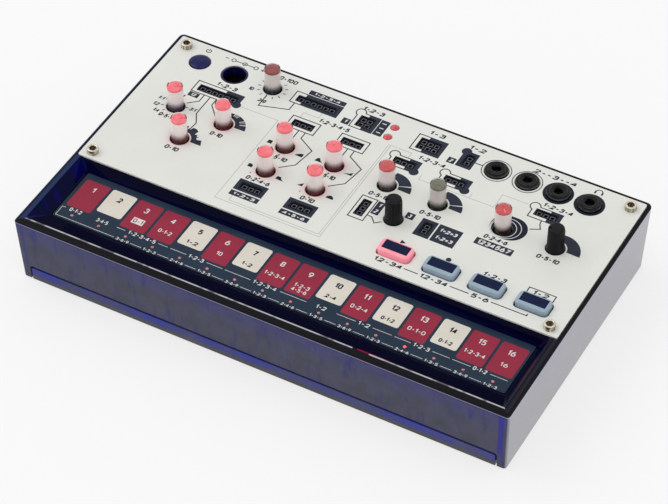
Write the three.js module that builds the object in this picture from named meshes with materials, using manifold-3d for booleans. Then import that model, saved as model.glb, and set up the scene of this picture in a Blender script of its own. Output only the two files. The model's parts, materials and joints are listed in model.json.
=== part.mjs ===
// A palm-sized modular synthesizer: a tinted case with a white control panel, knobs, patch sockets,
// audio jacks and buttons, and a touch keyboard in a sunken tray along the front.
// Millimetres, +X to the right, +Y to the back, +Z up. The origin is on the surface that the
// synthesizer stands on, under the middle of its case.

import * as THREE from "three";
import { mergeVertices } from "three/addons/utils/BufferGeometryUtils.js";
import Module from "manifold-3d";

const wasm = await Module();
wasm.setup();

// Clearances
const sideGap = 0.3; // between a piece and the opening that it sits or moves in
const seatGap = 0.2; // between a piece and the face that it rests on
const overrun = 1; // how far a cut runs past the face that it opens
const weld = 1e-4; // vertices closer than this are one

// Sides of round shapes
const roundSides = 16;
const smallSides = 12;
const cornerSides = 3;
const domeSteps = 3;

// Case
const caseWidth = 193;
const caseDepth = 115;
const caseHeight = 28.2;
const caseCorner = 2.8;
const caseWall = 2;
const sideLean = 0.9; // how far the left and right walls lean in at the bottom
const frontLean = 1.8; // how far the front and back walls lean in at the bottom
const rimChamfer = 0.8;
const footDrop = 0.5;

// Control panel
const panelSideRim = 1.6; // case rim beside the panel
const panelWidth = caseWidth - 2 * panelSideRim;
const panelDepthShare = 0.64087; // of the case's depth
const panelDepth = caseDepth * panelDepthShare;
const panelThickness = 1.6;
const panelCorner = 1.6;
const panelBackRim = 1.6; // case rim behind the panel
const panelProud = 0.2; // how far the panel stands above the rim

// Deck of the case under the panel
const deckThickness = 1.8;
const deckLedge = 4.5; // how far the deck reaches in under the panel's edge
const deckJackGap = 0.5; // from the audio jacks to the ledge behind them
const inletDeckLip = 2.1; // how far the deck's corner that carries the inlet runs past its collar

// Tray of the keyboard
const trayDepth = 4.4;
const trayFloor = 1.6;
const traySideRim = 3.1; // case rim beside the tray
const trayTopFront = 3.2; // case rim in front of the tray
const traySideSlope = 3.4;
const trayFrontSlope = 8.7;
const trayBackSlope = 2.4;

// Touch keyboard
const overlayThickness = 1.2;
const overlayCorner = 1;
const overlayLip = 1.2; // ledge of the tray under the overlay's edge
const overlaySetBack = 0.3; // from the foot of the tray's back slope to the overlay
const overlaySetFront = 0.7; // from the foot of its front slope
const overlaySetSide = 1.1; // from the feet of its side slopes
const touchBoardOverhang = 2; // how far the touch board runs past the overlay all round

// Circuit boards
const boardThickness = 1.6;
const boardSideGap = 1.2; // from the main board to the side walls
const boardEndGap = 1.4; // from the main board to the back wall, and in from the panel's front edge

// Patch sockets, a grid of square holes in a moulded header
const patchPitch = 2.54;
const patchWidth = 2.5;
const patchHeight = 8.5;
const patchHole = 1;
const patchHoleDepth = 6;
const patchPanelGap = 0.55; // between a header and the edge of its slot
const patchRecess = 0.5; // below the panel's face

// Knobs and potentiometers
const knobRadius = 2.85;
const knobSkirtRadius = 3.3;
const knobSkirtRise = 1.8; // above the panel
const knobRise = 10.1; // above the panel
const knobEdge = 0.35;
const knobStepHeight = 0.6;
const stemRadius = 1.5;
const stemLength = 5;
const darkKnobRadius = 3.05;
const darkKnobEdge = 0.9;
const pointerWidth = 0.7;
const pointerDepth = 0.3;
const darkPointerLength = 1.2;
const potSize = 9.5;
const potHeight = 6.4;
const knobTurnDegrees = 280; // from stop to stop

// Function buttons
const buttonWidth = 12.3;
const buttonDepth = 6.6;
const buttonCorner = 1.8;
const buttonRise = 2; // above the panel
const buttonEdge = 0.5;
const buttonFlange = 1.1; // how far the flange reaches under the panel
const buttonFlangeHeight = 0.8;
const buttonTravel = 0.8;
const inlayWidth = 9.9;
const inlayDepth = 4.35;
const inlaySink = 0.15;
const switchSize = 6;
const switchHeight = 3.5;
const plungerRadius = 1.6;

// Power button
const powerRadius = 4;
const powerDome = 0.9;
const powerFlange = 1.1;
const powerFlangeHeight = 0.8;

// Power inlet
const inletWellRadius = 4.3;
const inletCollarWall = 0.65;
const inletWellDepth = 5.5;
const inletBodySize = 9;
const inletBoreRadius = 2.9;
const inletPinRadius = 0.85;
const inletPinSink = 0.8; // from the socket's face down to the pin's tip
const inletBoreFloor = 0.8;

// Audio jacks
const jackBodyWidth = 9.6;
const jackBodyDepth = 9.8;
const jackCollarRadius = 4.35;
const jackCollarRise = 0.9;
const jackRingRadius = 3.2;
const jackRingRise = 1.45;
const jackBoreRadius = 1.8;
const jackBoreFloor = 1;

// Signal lights
const lightRadius = 1.5;
const lightPitch = 5.6;
const lightRise = 0.4;
const lightCollarWall = 0.4;
const lightCollarHeight = 5;

// Panel screws
const screwHeadRadius = 2.3;
const screwHeadHeight = 1.6;
const screwShankRadius = 1.25;
const screwShankLength = 7;
const screwHexAcross = 2.5;
const hexSides = 6;
const screwHexDepth = 1;
const screwBossRadius = 3;
const screwTipGap = 0.5;

// Bottom case
const stripHeight = 6.2; // of the notch in the front and back walls
const stripSideRoom = 4.5; // from the side walls to the notch
const stripCorner = 1.2;
const floorThickness = 2.4;
const leafThickness = 1.2;
const leafRise = 2; // how far the inner leaf stands above the notch
const rodRadius = 2.5; // of the rods under the touch board

// Battery bay
const baySideRoom = 15; // from the floor's side edges to the bay
const bayDepth = 31.8;
const bayWall = 1.5;
const bayRoof = 0.9;
const railWidth = 4;
const railHeight = 3.6;
const railLip = 0.8;
const tongueReach = 2;
const tongueThickness = 0.8;
const doorThickness = 1.9;
const gripWidth = 20;
const gripGroove = 0.8;
const gripPitch = 2;
const gripDepth = 0.5;
const gripEdge = 4; // from the door's back edge to its first groove
const gripCount = 4;
const contactWidth = 28;
const contactHeight = 12;
const contactThickness = 0.5;
const contactNubRadius = 3;
const contactNubHeight = 1.2;
const cellDiameter = 14.5;

// Loudspeaker
const speakerRadius = 20;
const speakerRimHeight = 3;
const speakerBasketHeight = 3;
const speakerMagnetRadius = 9;
const speakerMagnetHeight = 4;
const speakerRingWall = 1.4;
const speakerRingHeight = 3;
const grilleSlot = 2;
const grillePitch = 4.5;
const grilleRadius = 15;
const grilleSlots = 7;

// Feet
const footRadius = 4.2;
const footPocketDepth = 1.4;

// Screws of the case
const caseScrewHeadRadius = 2.5;
const caseScrewHeadHeight = 1.6;
const caseScrewLength = 7;
const caseScrewHeadDepth = 2; // of the recess that hides the head
const caseBossRadius = 3.8;
const caseBossHeight = 2;
const pillarWidth = 8;
const pillarHeight = 12;

// Ribbon cable
const ribbonWidth = 20;
const ribbonThickness = 0.5;
const ribbonSag = 3; // how far its bend hangs under the main board
const ribbonPlug = 3; // length that lies flat under each board

// Columns and rows of the controls, as shares of half the panel's width and depth
const columnShares = {
  leftScrew: -0.9536,
  power: -0.862,
  ratio: -0.8124,
  source: -0.7065,
  mod: -0.6006,
  clock: -0.536,
  sequencer: -0.3425,
  attack: -0.3314,
  random: -0.1307,
  shape: -0.1195,
  lights: -0.0179,
  utilityIn: 0.0817,
  cutoff1: 0.1038,
  split: 0.1433,
  mix: 0.2097,
  button1: 0.2987,
  voltage: 0.3098,
  cutoff2: 0.3169,
  utilityOut: 0.3372,
  jack1: 0.4278,
  button2: 0.4847,
  jack2: 0.5564,
  amount: 0.5848,
  button3: 0.6702,
  jack3: 0.6839,
  space: 0.6944,
  volume: 0.7987,
  jack4: 0.8114,
  button4: 0.8556,
  rightScrew: 0.9536,
};
const rowShares = {
  backScrew: 0.8725,
  top: 0.7313,
  patch: 0.403,
  knob: 0.0448,
  utilityOut: -0.3053,
  low: -0.3379,
  outlet: -0.6255,
  button: -0.7246,
  frontScrew: -0.9104,
};

// Where each knob points at rest, clockwise from the back, as a share of half its whole turn
const knobTurnShares = {
  clock: -0.35,
  ratio: 0.5,
  mod: 1,
  fold: 0.45,
  attack: -0.7,
  shape: -0.4,
  release: -0.55,
  time: 0.2,
  cutoff_1: 0.95,
  cutoff_2: 0.8,
  mix: -0.92,
  amount: 1,
  volume: -0.85,
};

// Places in the bottom case, as shares of half the case's width and depth
const footShares = { side: 0.905, front: -0.8, back: 0.8 };
const speakerShares = { side: 0.42, front: -0.33 };
const caseScrewShares = { side: 0.925, front: -0.52 };
const rodShares = { front: -0.57, sides: [-0.83, -0.2, 0.83] };
const ribbonShare = -0.2;

// Heights
const caseBottom = footDrop;
const rimTop = caseBottom + caseHeight;
const panelTop = rimTop + panelProud;
const panelBottom = panelTop - panelThickness;
const deckTop = panelBottom - seatGap;
const deckBottom = deckTop - deckThickness;
const patchTop = panelTop - patchRecess;
const boardTop = patchTop - patchHeight - seatGap;
const boardBottom = boardTop - boardThickness;
const trayTop = rimTop - trayDepth;
const trayBottom = trayTop - trayFloor;
const touchBoardTop = trayBottom - seatGap;
const touchBoardBottom = touchBoardTop - boardThickness;
const onBoard = boardTop + seatGap; // where what stands on the main board begins
const floorTop = caseBottom + floorThickness;
const notchTop = caseBottom + stripHeight;
const bayRoofTop = boardBottom - sideGap;
const bayRoofBottom = bayRoofTop - bayRoof;
const tongueBottom = caseBottom + railLip + sideGap;
const doorTop = caseBottom + doorThickness;
const grooveTop = doorTop + sideGap;

// Plan
const halfWidth = caseWidth / 2;
const halfDepth = caseDepth / 2;
const panelBack = halfDepth - panelBackRim;
const panelMiddle = panelBack - panelDepth / 2;
const panelFront = panelBack - panelDepth;
const trayFront = -halfDepth + trayTopFront;
const trayFloorFront = trayFront + trayFrontSlope;
const trayFloorBack = panelFront - trayBackSlope;
const trayFloorHalf = halfWidth - traySideRim - traySideSlope;
const overlayBack = trayFloorBack - overlaySetBack;
const overlayFront = trayFloorFront + overlaySetFront;
const overlayDepth = overlayBack - overlayFront;
const overlayMiddle = (overlayBack + overlayFront) / 2;
const overlayWidth = 2 * (trayFloorHalf - overlaySetSide);
const touchBoardBack = overlayBack + touchBoardOverhang;
const floorHalfWidth = halfWidth - sideLean - caseWall - sideGap;
const floorHalfDepth = halfDepth - frontLean - caseWall - sideGap;
const stripWidth = caseWidth - 2 * stripSideRoom;
const stripHalf = stripWidth / 2 - sideGap;
const bayHalf = floorHalfWidth - baySideRoom;
const bayWidth = 2 * bayHalf;
const bayBack = floorHalfDepth - bayWall;
const bayFront = bayBack - bayDepth;
const boardHalfWidth = halfWidth - caseWall - boardSideGap;
const boardBack = halfDepth - caseWall - boardEndGap;
const boardFront = panelFront + boardEndGap;

// A point of the panel where a column crosses a row
function onPanel(column, row) {
  return [(columnShares[column] * panelWidth) / 2, panelMiddle + (rowShares[row] * panelDepth) / 2];
}

// Two places in rising order
function ordered(a, b) {
  return [Math.min(a, b), Math.max(a, b)];
}

// The two ends of a length about its middle
function about(middle, length) {
  return [middle - length / 2, middle + length / 2];
}

// The solid of a closed geometry
function solid(geometry) {
  const open = geometry.index ? geometry.toNonIndexed() : geometry;
  const bare = new THREE.BufferGeometry().setAttribute("position", open.getAttribute("position"));
  const merged = mergeVertices(bare, weld);
  const corners = merged.index.array;
  const kept = [];
  for (let i = 0; i < corners.length; i += 3) {
    const [a, b, c] = corners.slice(i, i + 3);
    if (a !== b && b !== c && a !== c) kept.push(a, b, c);
  }
  return new wasm.Manifold(
    new wasm.Mesh({
      numProp: 3,
      vertProperties: merged.getAttribute("position").array,
      triVerts: new Uint32Array(kept),
    }),
  );
}

// All the given solids in one
function join(...solids) {
  return solids.reduce((whole, next) => whole.add(next));
}

// The first solid without the others
function cut(whole, ...cutters) {
  return cutters.reduce((left, cutter) => left.subtract(cutter), whole);
}

// A box between the ends of three spans
function box([left, right], [front, back], [bottom, top]) {
  const geometry = new THREE.BoxGeometry(right - left, back - front, top - bottom);
  geometry.translate((left + right) / 2, (front + back) / 2, (bottom + top) / 2);
  return solid(geometry);
}

// An upright cylinder about a point of the plan
function rod([x, y], radius, [bottom, top], sides = roundSides) {
  const geometry = new THREE.CylinderGeometry(radius, radius, top - bottom, sides);
  geometry.rotateX(Math.PI / 2);
  geometry.translate(x, y, (bottom + top) / 2);
  return solid(geometry);
}

// A body turned about the upright axis, from pairs of radius and height that run from its foot up
function turned(profile, sides = roundSides) {
  const points = profile.map(([radius, height]) => new THREE.Vector2(radius, height));
  const geometry = new THREE.LatheGeometry(points, sides);
  geometry.rotateX(Math.PI / 2);
  return solid(geometry);
}

// A rectangle with round corners
function roundedOutline(width, depth, corner) {
  const right = width / 2 - corner;
  const back = depth / 2 - corner;
  const quarter = Math.PI / 2;
  const outline = new THREE.Shape();
  outline.absarc(right, back, corner, 0, quarter);
  outline.absarc(-right, back, corner, quarter, 2 * quarter);
  outline.absarc(-right, -back, corner, 2 * quarter, 3 * quarter);
  outline.absarc(right, -back, corner, 3 * quarter, 4 * quarter);
  return outline;
}

// An upright block with round corners that is drawn in by its own amounts at each level
function leaningBlock([width, depth, corner], [x, y], levels) {
  const steps = levels.length - 1;
  const options = { depth: steps, steps, bevelEnabled: false, curveSegments: cornerSides };
  const geometry = new THREE.ExtrudeGeometry(roundedOutline(width, depth, corner), options);
  const places = geometry.getAttribute("position");
  for (let i = 0; i < places.count; i++) {
    const { height, inSide, inFront } = levels[Math.round(places.getZ(i))];
    const px = places.getX(i) - Math.sign(places.getX(i)) * inSide;
    const py = places.getY(i) - Math.sign(places.getY(i)) * inFront;
    places.setXYZ(i, x + px, y + py, height);
  }
  return solid(geometry);
}

// An upright plate with round corners
function plate(outline, middle, [bottom, top]) {
  return leaningBlock(outline, middle, [
    { height: bottom, inSide: 0, inFront: 0 },
    { height: top, inSide: 0, inFront: 0 },
  ]);
}

// A hollow whose four sides slope evenly from a lower to an upper rectangle
function hopper(lower, upper, [bottom, top]) {
  const geometry = new THREE.BoxGeometry(1, 1, 1);
  const places = geometry.getAttribute("position");
  for (let i = 0; i < places.count; i++) {
    const above = places.getZ(i) > 0;
    const { sides, ends } = above ? upper : lower;
    const px = sides[places.getX(i) > 0 ? 1 : 0];
    const py = ends[places.getY(i) > 0 ? 1 : 0];
    places.setXYZ(i, px, py, above ? top : bottom);
  }
  return solid(geometry);
}

// How far the walls of the case lean in at a height, as levels for a block drawn in by them
function leanAt(height) {
  const share = (rimTop - rimChamfer - height) / (caseHeight - rimChamfer);
  return { height, inSide: sideLean * share, inFront: frontLean * share };
}

// The outside of the whole case
function caseOutside() {
  const shoulder = { height: rimTop - rimChamfer, inSide: 0, inFront: 0 };
  const edge = { height: rimTop, inSide: rimChamfer, inFront: rimChamfer };
  return leaningBlock([caseWidth, caseDepth, caseCorner], [0, 0], [leanAt(caseBottom), shoulder, edge]);
}

// The room between the walls of the case, up to a height
function caseInside(top) {
  const width = caseWidth - 2 * caseWall;
  const depth = caseDepth - 2 * caseWall;
  const levels = [leanAt(caseBottom - overrun), leanAt(top)];
  return leaningBlock([width, depth, caseCorner - caseWall], [0, 0], levels);
}

// The notch that runs through the front and back walls at their foot, less a gap all round
function stripNotch(gap) {
  const height = stripHeight + overrun + stripCorner;
  const outline = roundedOutline(stripWidth - 2 * gap, height, stripCorner - gap);
  const depth = caseDepth + 2 * overrun;
  const options = { depth, bevelEnabled: false, curveSegments: cornerSides };
  const geometry = new THREE.ExtrudeGeometry(outline, options);
  geometry.rotateX(Math.PI / 2);
  geometry.translate(0, depth / 2, notchTop - gap - height / 2);
  return solid(geometry);
}

// The tray's hollow, with the pocket and the window of the touch overlay
function trayHollow() {
  const rise = trayDepth + overrun;
  const spread = rise / trayDepth;
  const lower = {
    sides: [-trayFloorHalf, trayFloorHalf],
    ends: [trayFloorFront, trayFloorBack],
  };
  const upper = {
    sides: [-trayFloorHalf - traySideSlope * spread, trayFloorHalf + traySideSlope * spread],
    ends: [trayFloorFront - trayFrontSlope * spread, trayFloorBack + trayBackSlope * spread],
  };
  const pocketFoot = trayTop - overlayThickness - seatGap;
  const pocketWidth = overlayWidth + 2 * sideGap;
  const pocketDepth = overlayDepth + 2 * sideGap;
  const pocket = plate(
    [pocketWidth, pocketDepth, overlayCorner],
    [0, overlayMiddle],
    [pocketFoot, trayTop + overrun],
  );
  const window = box(
    about(0, overlayWidth - 2 * overlayLip),
    about(overlayMiddle, overlayDepth - 2 * overlayLip),
    [trayBottom - overrun, pocketFoot + overrun],
  );
  return join(hopper(lower, upper, [trayTop, trayTop + rise]), pocket, window);
}

// Places of the four panel screws
const panelScrewPlaces = ["leftScrew", "rightScrew"].flatMap((column) =>
  ["backScrew", "frontScrew"].map((row) => onPanel(column, row)),
);

// Places of the two screws of the case, and of its four feet
const caseScrewPlaces = [-1, 1].map((side) => [
  side * caseScrewShares.side * halfWidth,
  caseScrewShares.front * halfDepth,
]);
const footPlaces = [-1, 1].flatMap((side) =>
  [footShares.front, footShares.back].map((end) => [side * footShares.side * halfWidth, end * halfDepth]),
);
const speakerPlace = [speakerShares.side * halfWidth, speakerShares.front * halfDepth];

// The upper case: walls, rim, tray, deck under the panel, screw bosses and the well of the inlet
function upperCase() {
  const power = onPanel("power", "top");
  const inlet = onPanel("source", "top");
  const inletCollar = inletWellRadius + inletCollarWall;
  const inletDeckRight = inlet[0] + inletCollar + inletDeckLip;
  const inletDeckFront = inlet[1] - inletCollar - inletDeckLip;
  const boxedOut = [-halfWidth, halfWidth];
  const lowRoom = caseInside(trayBottom);
  const highRoom = caseInside(deckBottom).subtract(
    box(boxedOut, [-halfDepth, trayFloorBack + trayFloor], [trayBottom, deckTop]),
  );
  const panelPocket = plate(
    [panelWidth + 2 * seatGap, panelDepth + 2 * seatGap, panelCorner],
    [0, panelMiddle],
    [deckTop, rimTop + overrun],
  );
  const deckHalf = panelWidth / 2 - deckLedge;
  const deckBack = inlet[1] + jackBodyDepth / 2 + deckJackGap;
  const deckOpening = box(
    [-deckHalf, deckHalf],
    [panelFront + deckLedge, deckBack],
    [deckBottom - overrun, deckTop + overrun],
  ).subtract(
    box(
      [-deckHalf - overrun, inletDeckRight],
      [inletDeckFront, deckBack + overrun],
      [deckBottom - 2 * overrun, deckTop + 2 * overrun],
    ),
  );
  const bossSpan = [onBoard, deckTop];
  const bosses = panelScrewPlaces.map((place) => rod(place, screwBossRadius, bossSpan, smallSides));
  const pillars = caseScrewPlaces.map(([x, y]) =>
    box(
      about(Math.sign(x) * (halfWidth - caseWall - pillarWidth / 2), pillarWidth),
      about(y, pillarWidth),
      [floorTop + caseBossHeight + seatGap, floorTop + caseBossHeight + pillarHeight],
    ),
  );
  const shell = cut(caseOutside(), lowRoom, highRoom, stripNotch(0), trayHollow(), panelPocket, deckOpening);
  const collar = rod(inlet, inletCollar, [deckBottom, rimTop]);
  return cut(
    join(shell, collar, ...bosses, ...pillars),
    rod(inlet, inletWellRadius, [deckBottom - overrun, rimTop + overrun]),
    rod(power, powerRadius + sideGap, [deckBottom - overrun, deckTop + overrun]),
    ...panelScrewPlaces.map((place) =>
      rod(
        place,
        screwShankRadius + seatGap,
        [panelTop - screwShankLength - screwTipGap, deckTop + overrun],
        smallSides,
      ),
    ),
    ...caseScrewPlaces.map((place) =>
      rod(
        place,
        screwShankRadius + seatGap,
        [floorTop, caseBottom + caseScrewHeadDepth + caseScrewLength + screwTipGap],
        smallSides,
      ),
    ),
  );
}

// The outside of the battery bay, on the rails that hold its door
function batteryBay() {
  const outerHalf = bayHalf + railWidth;
  const back = floorHalfDepth;
  const front = bayFront - bayWall;
  return join(
    box(about(0, bayWidth + 2 * bayWall), [front, back], [caseBottom, bayRoofTop]),
    box([-outerHalf, outerHalf], [front, back], [caseBottom, caseBottom + railHeight]),
  );
}

// The room for the cells, and the way that the battery door takes through the floor and the back strip
function batteryRoom() {
  const back = halfDepth + overrun;
  const grooveHalf = bayHalf + tongueReach;
  return join(
    box(about(0, bayWidth), [bayFront, bayBack], [caseBottom - overrun, bayRoofBottom]),
    box(about(0, bayWidth), [bayFront, back], [caseBottom - overrun, grooveTop]),
    box([-grooveHalf, grooveHalf], [bayFront, back], [caseBottom + railLip, grooveTop]),
  );
}

// The strip of the bottom case in one notch, flush with the wall over it, and the leaf behind the wall
function strip(side) {
  const outer = side * (halfDepth + overrun);
  const inner = side * (floorHalfDepth - leafThickness);
  const face = side * floorHalfDepth;
  return join(
    caseOutside()
      .intersect(stripNotch(sideGap))
      .intersect(box([-halfWidth, halfWidth], ordered(outer, inner), [caseBottom, notchTop])),
    box([-stripHalf, stripHalf], ordered(face, inner), [caseBottom, notchTop + leafRise]),
  );
}

// The slots under the loudspeaker
function grille() {
  const [x, y] = speakerPlace;
  const through = [caseBottom - overrun, floorTop + overrun];
  const slots = [];
  for (let i = 0; i < grilleSlots; i++) {
    const off = (i - (grilleSlots - 1) / 2) * grillePitch;
    const length = 2 * Math.sqrt(Math.max(grilleRadius ** 2 - off ** 2, grilleSlot ** 2));
    slots.push(box(about(x + off, grilleSlot), about(y, length), through));
  }
  return join(...slots);
}

// The bottom case: floor, strips in the notches, battery bay, loudspeaker seat and screw bosses
function bottomCase() {
  const floor = plate(
    [2 * floorHalfWidth, 2 * floorHalfDepth, caseCorner - caseWall],
    [0, 0],
    [caseBottom, floorTop],
  );
  const ringInner = speakerRadius + sideGap;
  const ring = rod(speakerPlace, ringInner + speakerRingWall, [caseBottom, floorTop + speakerRingHeight]);
  const ringRoom = rod(speakerPlace, ringInner, [floorTop, floorTop + speakerRingHeight + overrun]);
  const rods = rodShares.sides.map((share) =>
    rod(
      [share * halfWidth, rodShares.front * halfDepth],
      rodRadius,
      [caseBottom, touchBoardBottom - seatGap],
      smallSides,
    ),
  );
  const bosses = caseScrewPlaces.map((place) =>
    rod(place, caseBossRadius, [caseBottom, floorTop + caseBossHeight], smallSides),
  );
  return cut(
    join(floor, strip(-1), strip(1), batteryBay(), ring, ...rods, ...bosses),
    ringRoom,
    grille(),
    batteryRoom(),
    ...footPlaces.map((place) =>
      rod(place, footRadius + sideGap, [caseBottom - overrun, caseBottom + footPocketDepth]),
    ),
    ...caseScrewPlaces.map((place) =>
      rod(
        place,
        caseScrewHeadRadius + sideGap,
        [caseBottom - overrun, caseBottom + caseScrewHeadDepth],
        smallSides,
      ),
    ),
    ...caseScrewPlaces.map((place) =>
      rod(
        place,
        screwShankRadius + sideGap,
        [caseBottom, floorTop + caseBossHeight + overrun],
        smallSides,
      ),
    ),
  );
}

// The battery door, with a tongue along each side and finger grooves near its back edge
function batteryDoor() {
  const half = bayHalf - sideGap;
  const front = bayFront + sideGap;
  const back = halfDepth - frontLean;
  const grips = [];
  for (let i = 0; i < gripCount; i++) {
    const middle = back - gripEdge - gripPitch * i;
    grips.push(
      box(about(0, gripWidth), about(middle, gripGroove), [caseBottom - overrun, caseBottom + gripDepth]),
    );
  }
  const leaf = box([-half, half], [front, back], [caseBottom, doorTop]);
  const tongueHalf = bayHalf + tongueReach - sideGap;
  const tongueTop = tongueBottom + tongueThickness;
  const tongues = box([-tongueHalf, tongueHalf], [front, back], [tongueBottom, tongueTop]);
  return cut(join(leaf, tongues), ...grips);
}

// One of the two contact plates, standing on its side of the bay with a nub for each row of cells
function batteryContact(side) {
  const wall = side * (bayHalf - seatGap);
  const face = wall - side * contactThickness;
  const tip = face - side * contactNubHeight;
  const middle = (bayFront + bayBack) / 2;
  const height = (grooveTop + bayRoofBottom) / 2;
  const leaf = box(ordered(wall, face), about(middle, contactWidth), about(height, contactHeight));
  const nubs = [-1, 1].map((row) => {
    const length = contactNubHeight + contactThickness;
    const geometry = new THREE.CylinderGeometry(contactNubRadius, contactNubRadius, length, smallSides);
    geometry.rotateZ(Math.PI / 2);
    geometry.translate((wall + tip) / 2, middle + (row * cellDiameter) / 2, height);
    return solid(geometry);
  });
  return join(leaf, ...nubs);
}

// A knob from its underside up, at its own origin, pointing to the back
function knob({ radius, edge, pointer }) {
  const underside = panelTop + knobRise - (boardTop + potHeight + sideGap);
  const step = underside - knobRise + knobSkirtRise;
  const body = turned([
    [0, -stemLength],
    [stemRadius, -stemLength],
    [stemRadius, 0],
    [knobSkirtRadius, 0],
    [knobSkirtRadius, step - knobStepHeight],
    [radius, step],
    [radius, underside - edge],
    [radius - edge, underside],
    [0, underside],
  ]);
  const reach = pointer ?? radius;
  const groove = box(
    about(0, pointerWidth),
    [radius - reach, radius + overrun],
    [underside - pointerDepth, underside + overrun],
  );
  return body.subtract(groove);
}

// A function button from the foot of its flange up, with a sunk field for its inlay
function functionButton() {
  const height = panelTop + buttonRise - (panelBottom - sideGap - buttonFlangeHeight);
  const flange = plate(
    [buttonWidth + 2 * buttonFlange, buttonDepth + 2 * buttonFlange, buttonCorner],
    [0, 0],
    [0, buttonFlangeHeight],
  );
  const cap = leaningBlock([buttonWidth, buttonDepth, buttonCorner], [0, 0], [
    { height: 0, inSide: 0, inFront: 0 },
    { height: height - buttonEdge, inSide: 0, inFront: 0 },
    { height, inSide: buttonEdge, inFront: buttonEdge },
  ]);
  const field = box(about(0, inlayWidth), about(0, inlayDepth), [height - inlaySink, height + overrun]);
  return join(flange, cap).subtract(field);
}

// The profile of a low dome from its shoulder up to its crown
function domeProfile(radius, shoulder, rise) {
  const points = [];
  for (let i = 0; i < domeSteps; i++) {
    const angle = ((Math.PI / 2) * i) / domeSteps;
    points.push([radius * Math.cos(angle), shoulder + rise * Math.sin(angle)]);
  }
  return [...points, [0, shoulder + rise]];
}

// The power button from the foot of its flange up, a low dome
function powerButton() {
  const height = panelTop + powerDome - (deckBottom - sideGap - powerFlangeHeight);
  const shoulder = height - powerDome;
  return turned([
    [0, 0],
    [powerRadius + powerFlange, 0],
    [powerRadius + powerFlange, powerFlangeHeight],
    [powerRadius, powerFlangeHeight],
    ...domeProfile(powerRadius, shoulder, powerDome),
  ]);
}

// A patch header from its foot up, with its grid of holes
function patchHeader(columns, rows) {
  const width = columns * patchPitch;
  const depth = (rows - 1) * patchPitch + patchWidth;
  const holes = [];
  for (let i = 0; i < columns; i++) {
    for (let j = 0; j < rows; j++) {
      const x = (i - (columns - 1) / 2) * patchPitch;
      const y = (j - (rows - 1) / 2) * patchPitch;
      holes.push(
        box(about(x, patchHole), about(y, patchHole), [patchHeight - patchHoleDepth, patchHeight + overrun]),
      );
    }
  }
  return cut(box(about(0, width), about(0, depth), [0, patchHeight]), ...holes);
}

// An audio jack from its foot up: body, collar, ring and bore
function audioJack() {
  const bodyTop = panelBottom - sideGap - onBoard;
  const face = panelTop - onBoard;
  return cut(
    join(
      box(about(0, jackBodyWidth), about(0, jackBodyDepth), [0, bodyTop]),
      rod([0, 0], jackCollarRadius, [0, face + jackCollarRise]),
      rod([0, 0], jackRingRadius, [0, face + jackRingRise]),
    ),
    rod([0, 0], jackBoreRadius, [jackBoreFloor, face + jackRingRise + overrun], smallSides),
  );
}

// The socket of the power inlet from its foot up, with its pin
function inletSocket() {
  const height = panelTop - inletWellDepth - onBoard;
  return join(
    cut(
      box(about(0, inletBodySize), about(0, inletBodySize), [0, height]),
      rod([0, 0], inletBoreRadius, [inletBoreFloor, height + overrun], smallSides),
    ),
    rod([0, 0], inletPinRadius, [0, height - inletPinSink], smallSides),
  );
}

// A signal light from its foot up
function signalLight() {
  const height = panelTop + lightRise - onBoard;
  const crown = lightRadius / 2;
  return turned(
    [
      [0, 0],
      [lightRadius + lightCollarWall, 0],
      [lightRadius + lightCollarWall, lightCollarHeight],
      [lightRadius, lightCollarHeight],
      ...domeProfile(lightRadius, height - crown, crown),
    ],
    smallSides,
  );
}

// A socket-head screw from the underside of its head up
function panelScrew() {
  const hexCorner = screwHexAcross / 2 / Math.cos(Math.PI / hexSides);
  const hex = new THREE.CylinderGeometry(hexCorner, hexCorner, screwHexDepth + overrun, hexSides);
  hex.rotateX(Math.PI / 2);
  hex.translate(0, 0, screwHeadHeight + (overrun - screwHexDepth) / 2);
  return cut(
    join(
      rod([0, 0], screwHeadRadius, [0, screwHeadHeight], roundSides),
      rod([0, 0], screwShankRadius, [-screwShankLength, screwHeadHeight - screwHexDepth], smallSides),
    ),
    solid(hex),
  );
}

// A screw of the case from its head up
function caseScrew() {
  return join(
    rod([0, 0], caseScrewHeadRadius, [0, caseScrewHeadHeight], smallSides),
    rod([0, 0], screwShankRadius, [0, caseScrewHeadDepth + caseScrewLength], smallSides),
  );
}

// The loudspeaker from its rim up: rim, basket and magnet
function loudspeaker() {
  const basketTop = speakerRimHeight + speakerBasketHeight;
  return turned([
    [0, 0],
    [speakerRadius, 0],
    [speakerRadius, speakerRimHeight],
    [speakerMagnetRadius, basketTop],
    [speakerMagnetRadius, basketTop + speakerMagnetHeight],
    [0, basketTop + speakerMagnetHeight],
  ]);
}

// The ribbon cable, bent down and up again between the undersides of the two boards
function ribbonCable() {
  const start = boardFront + ribbonPlug;
  const end = touchBoardBack - ribbonPlug;
  const low = boardBottom - seatGap;
  const high = touchBoardBottom - seatGap;
  const sag = low - ribbonSag;
  const side = [
    [start, low],
    [boardFront, low],
    [boardFront, sag + ribbonThickness],
    [touchBoardBack, sag + ribbonThickness],
    [touchBoardBack, high],
    [end, high],
    [end, high - ribbonThickness],
    [touchBoardBack - ribbonThickness, high - ribbonThickness],
    [touchBoardBack - ribbonThickness, sag],
    [boardFront + ribbonThickness, sag],
    [boardFront + ribbonThickness, low - ribbonThickness],
    [start, low - ribbonThickness],
  ];
  const outline = new THREE.Shape(side.map(([y, z]) => new THREE.Vector2(y, z)));
  const geometry = new THREE.ExtrudeGeometry(outline, { depth: ribbonWidth, bevelEnabled: false });
  geometry.rotateX(Math.PI / 2);
  geometry.rotateZ(Math.PI / 2);
  geometry.translate(ribbonShare * halfWidth - ribbonWidth / 2, 0, 0);
  return solid(geometry);
}

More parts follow.
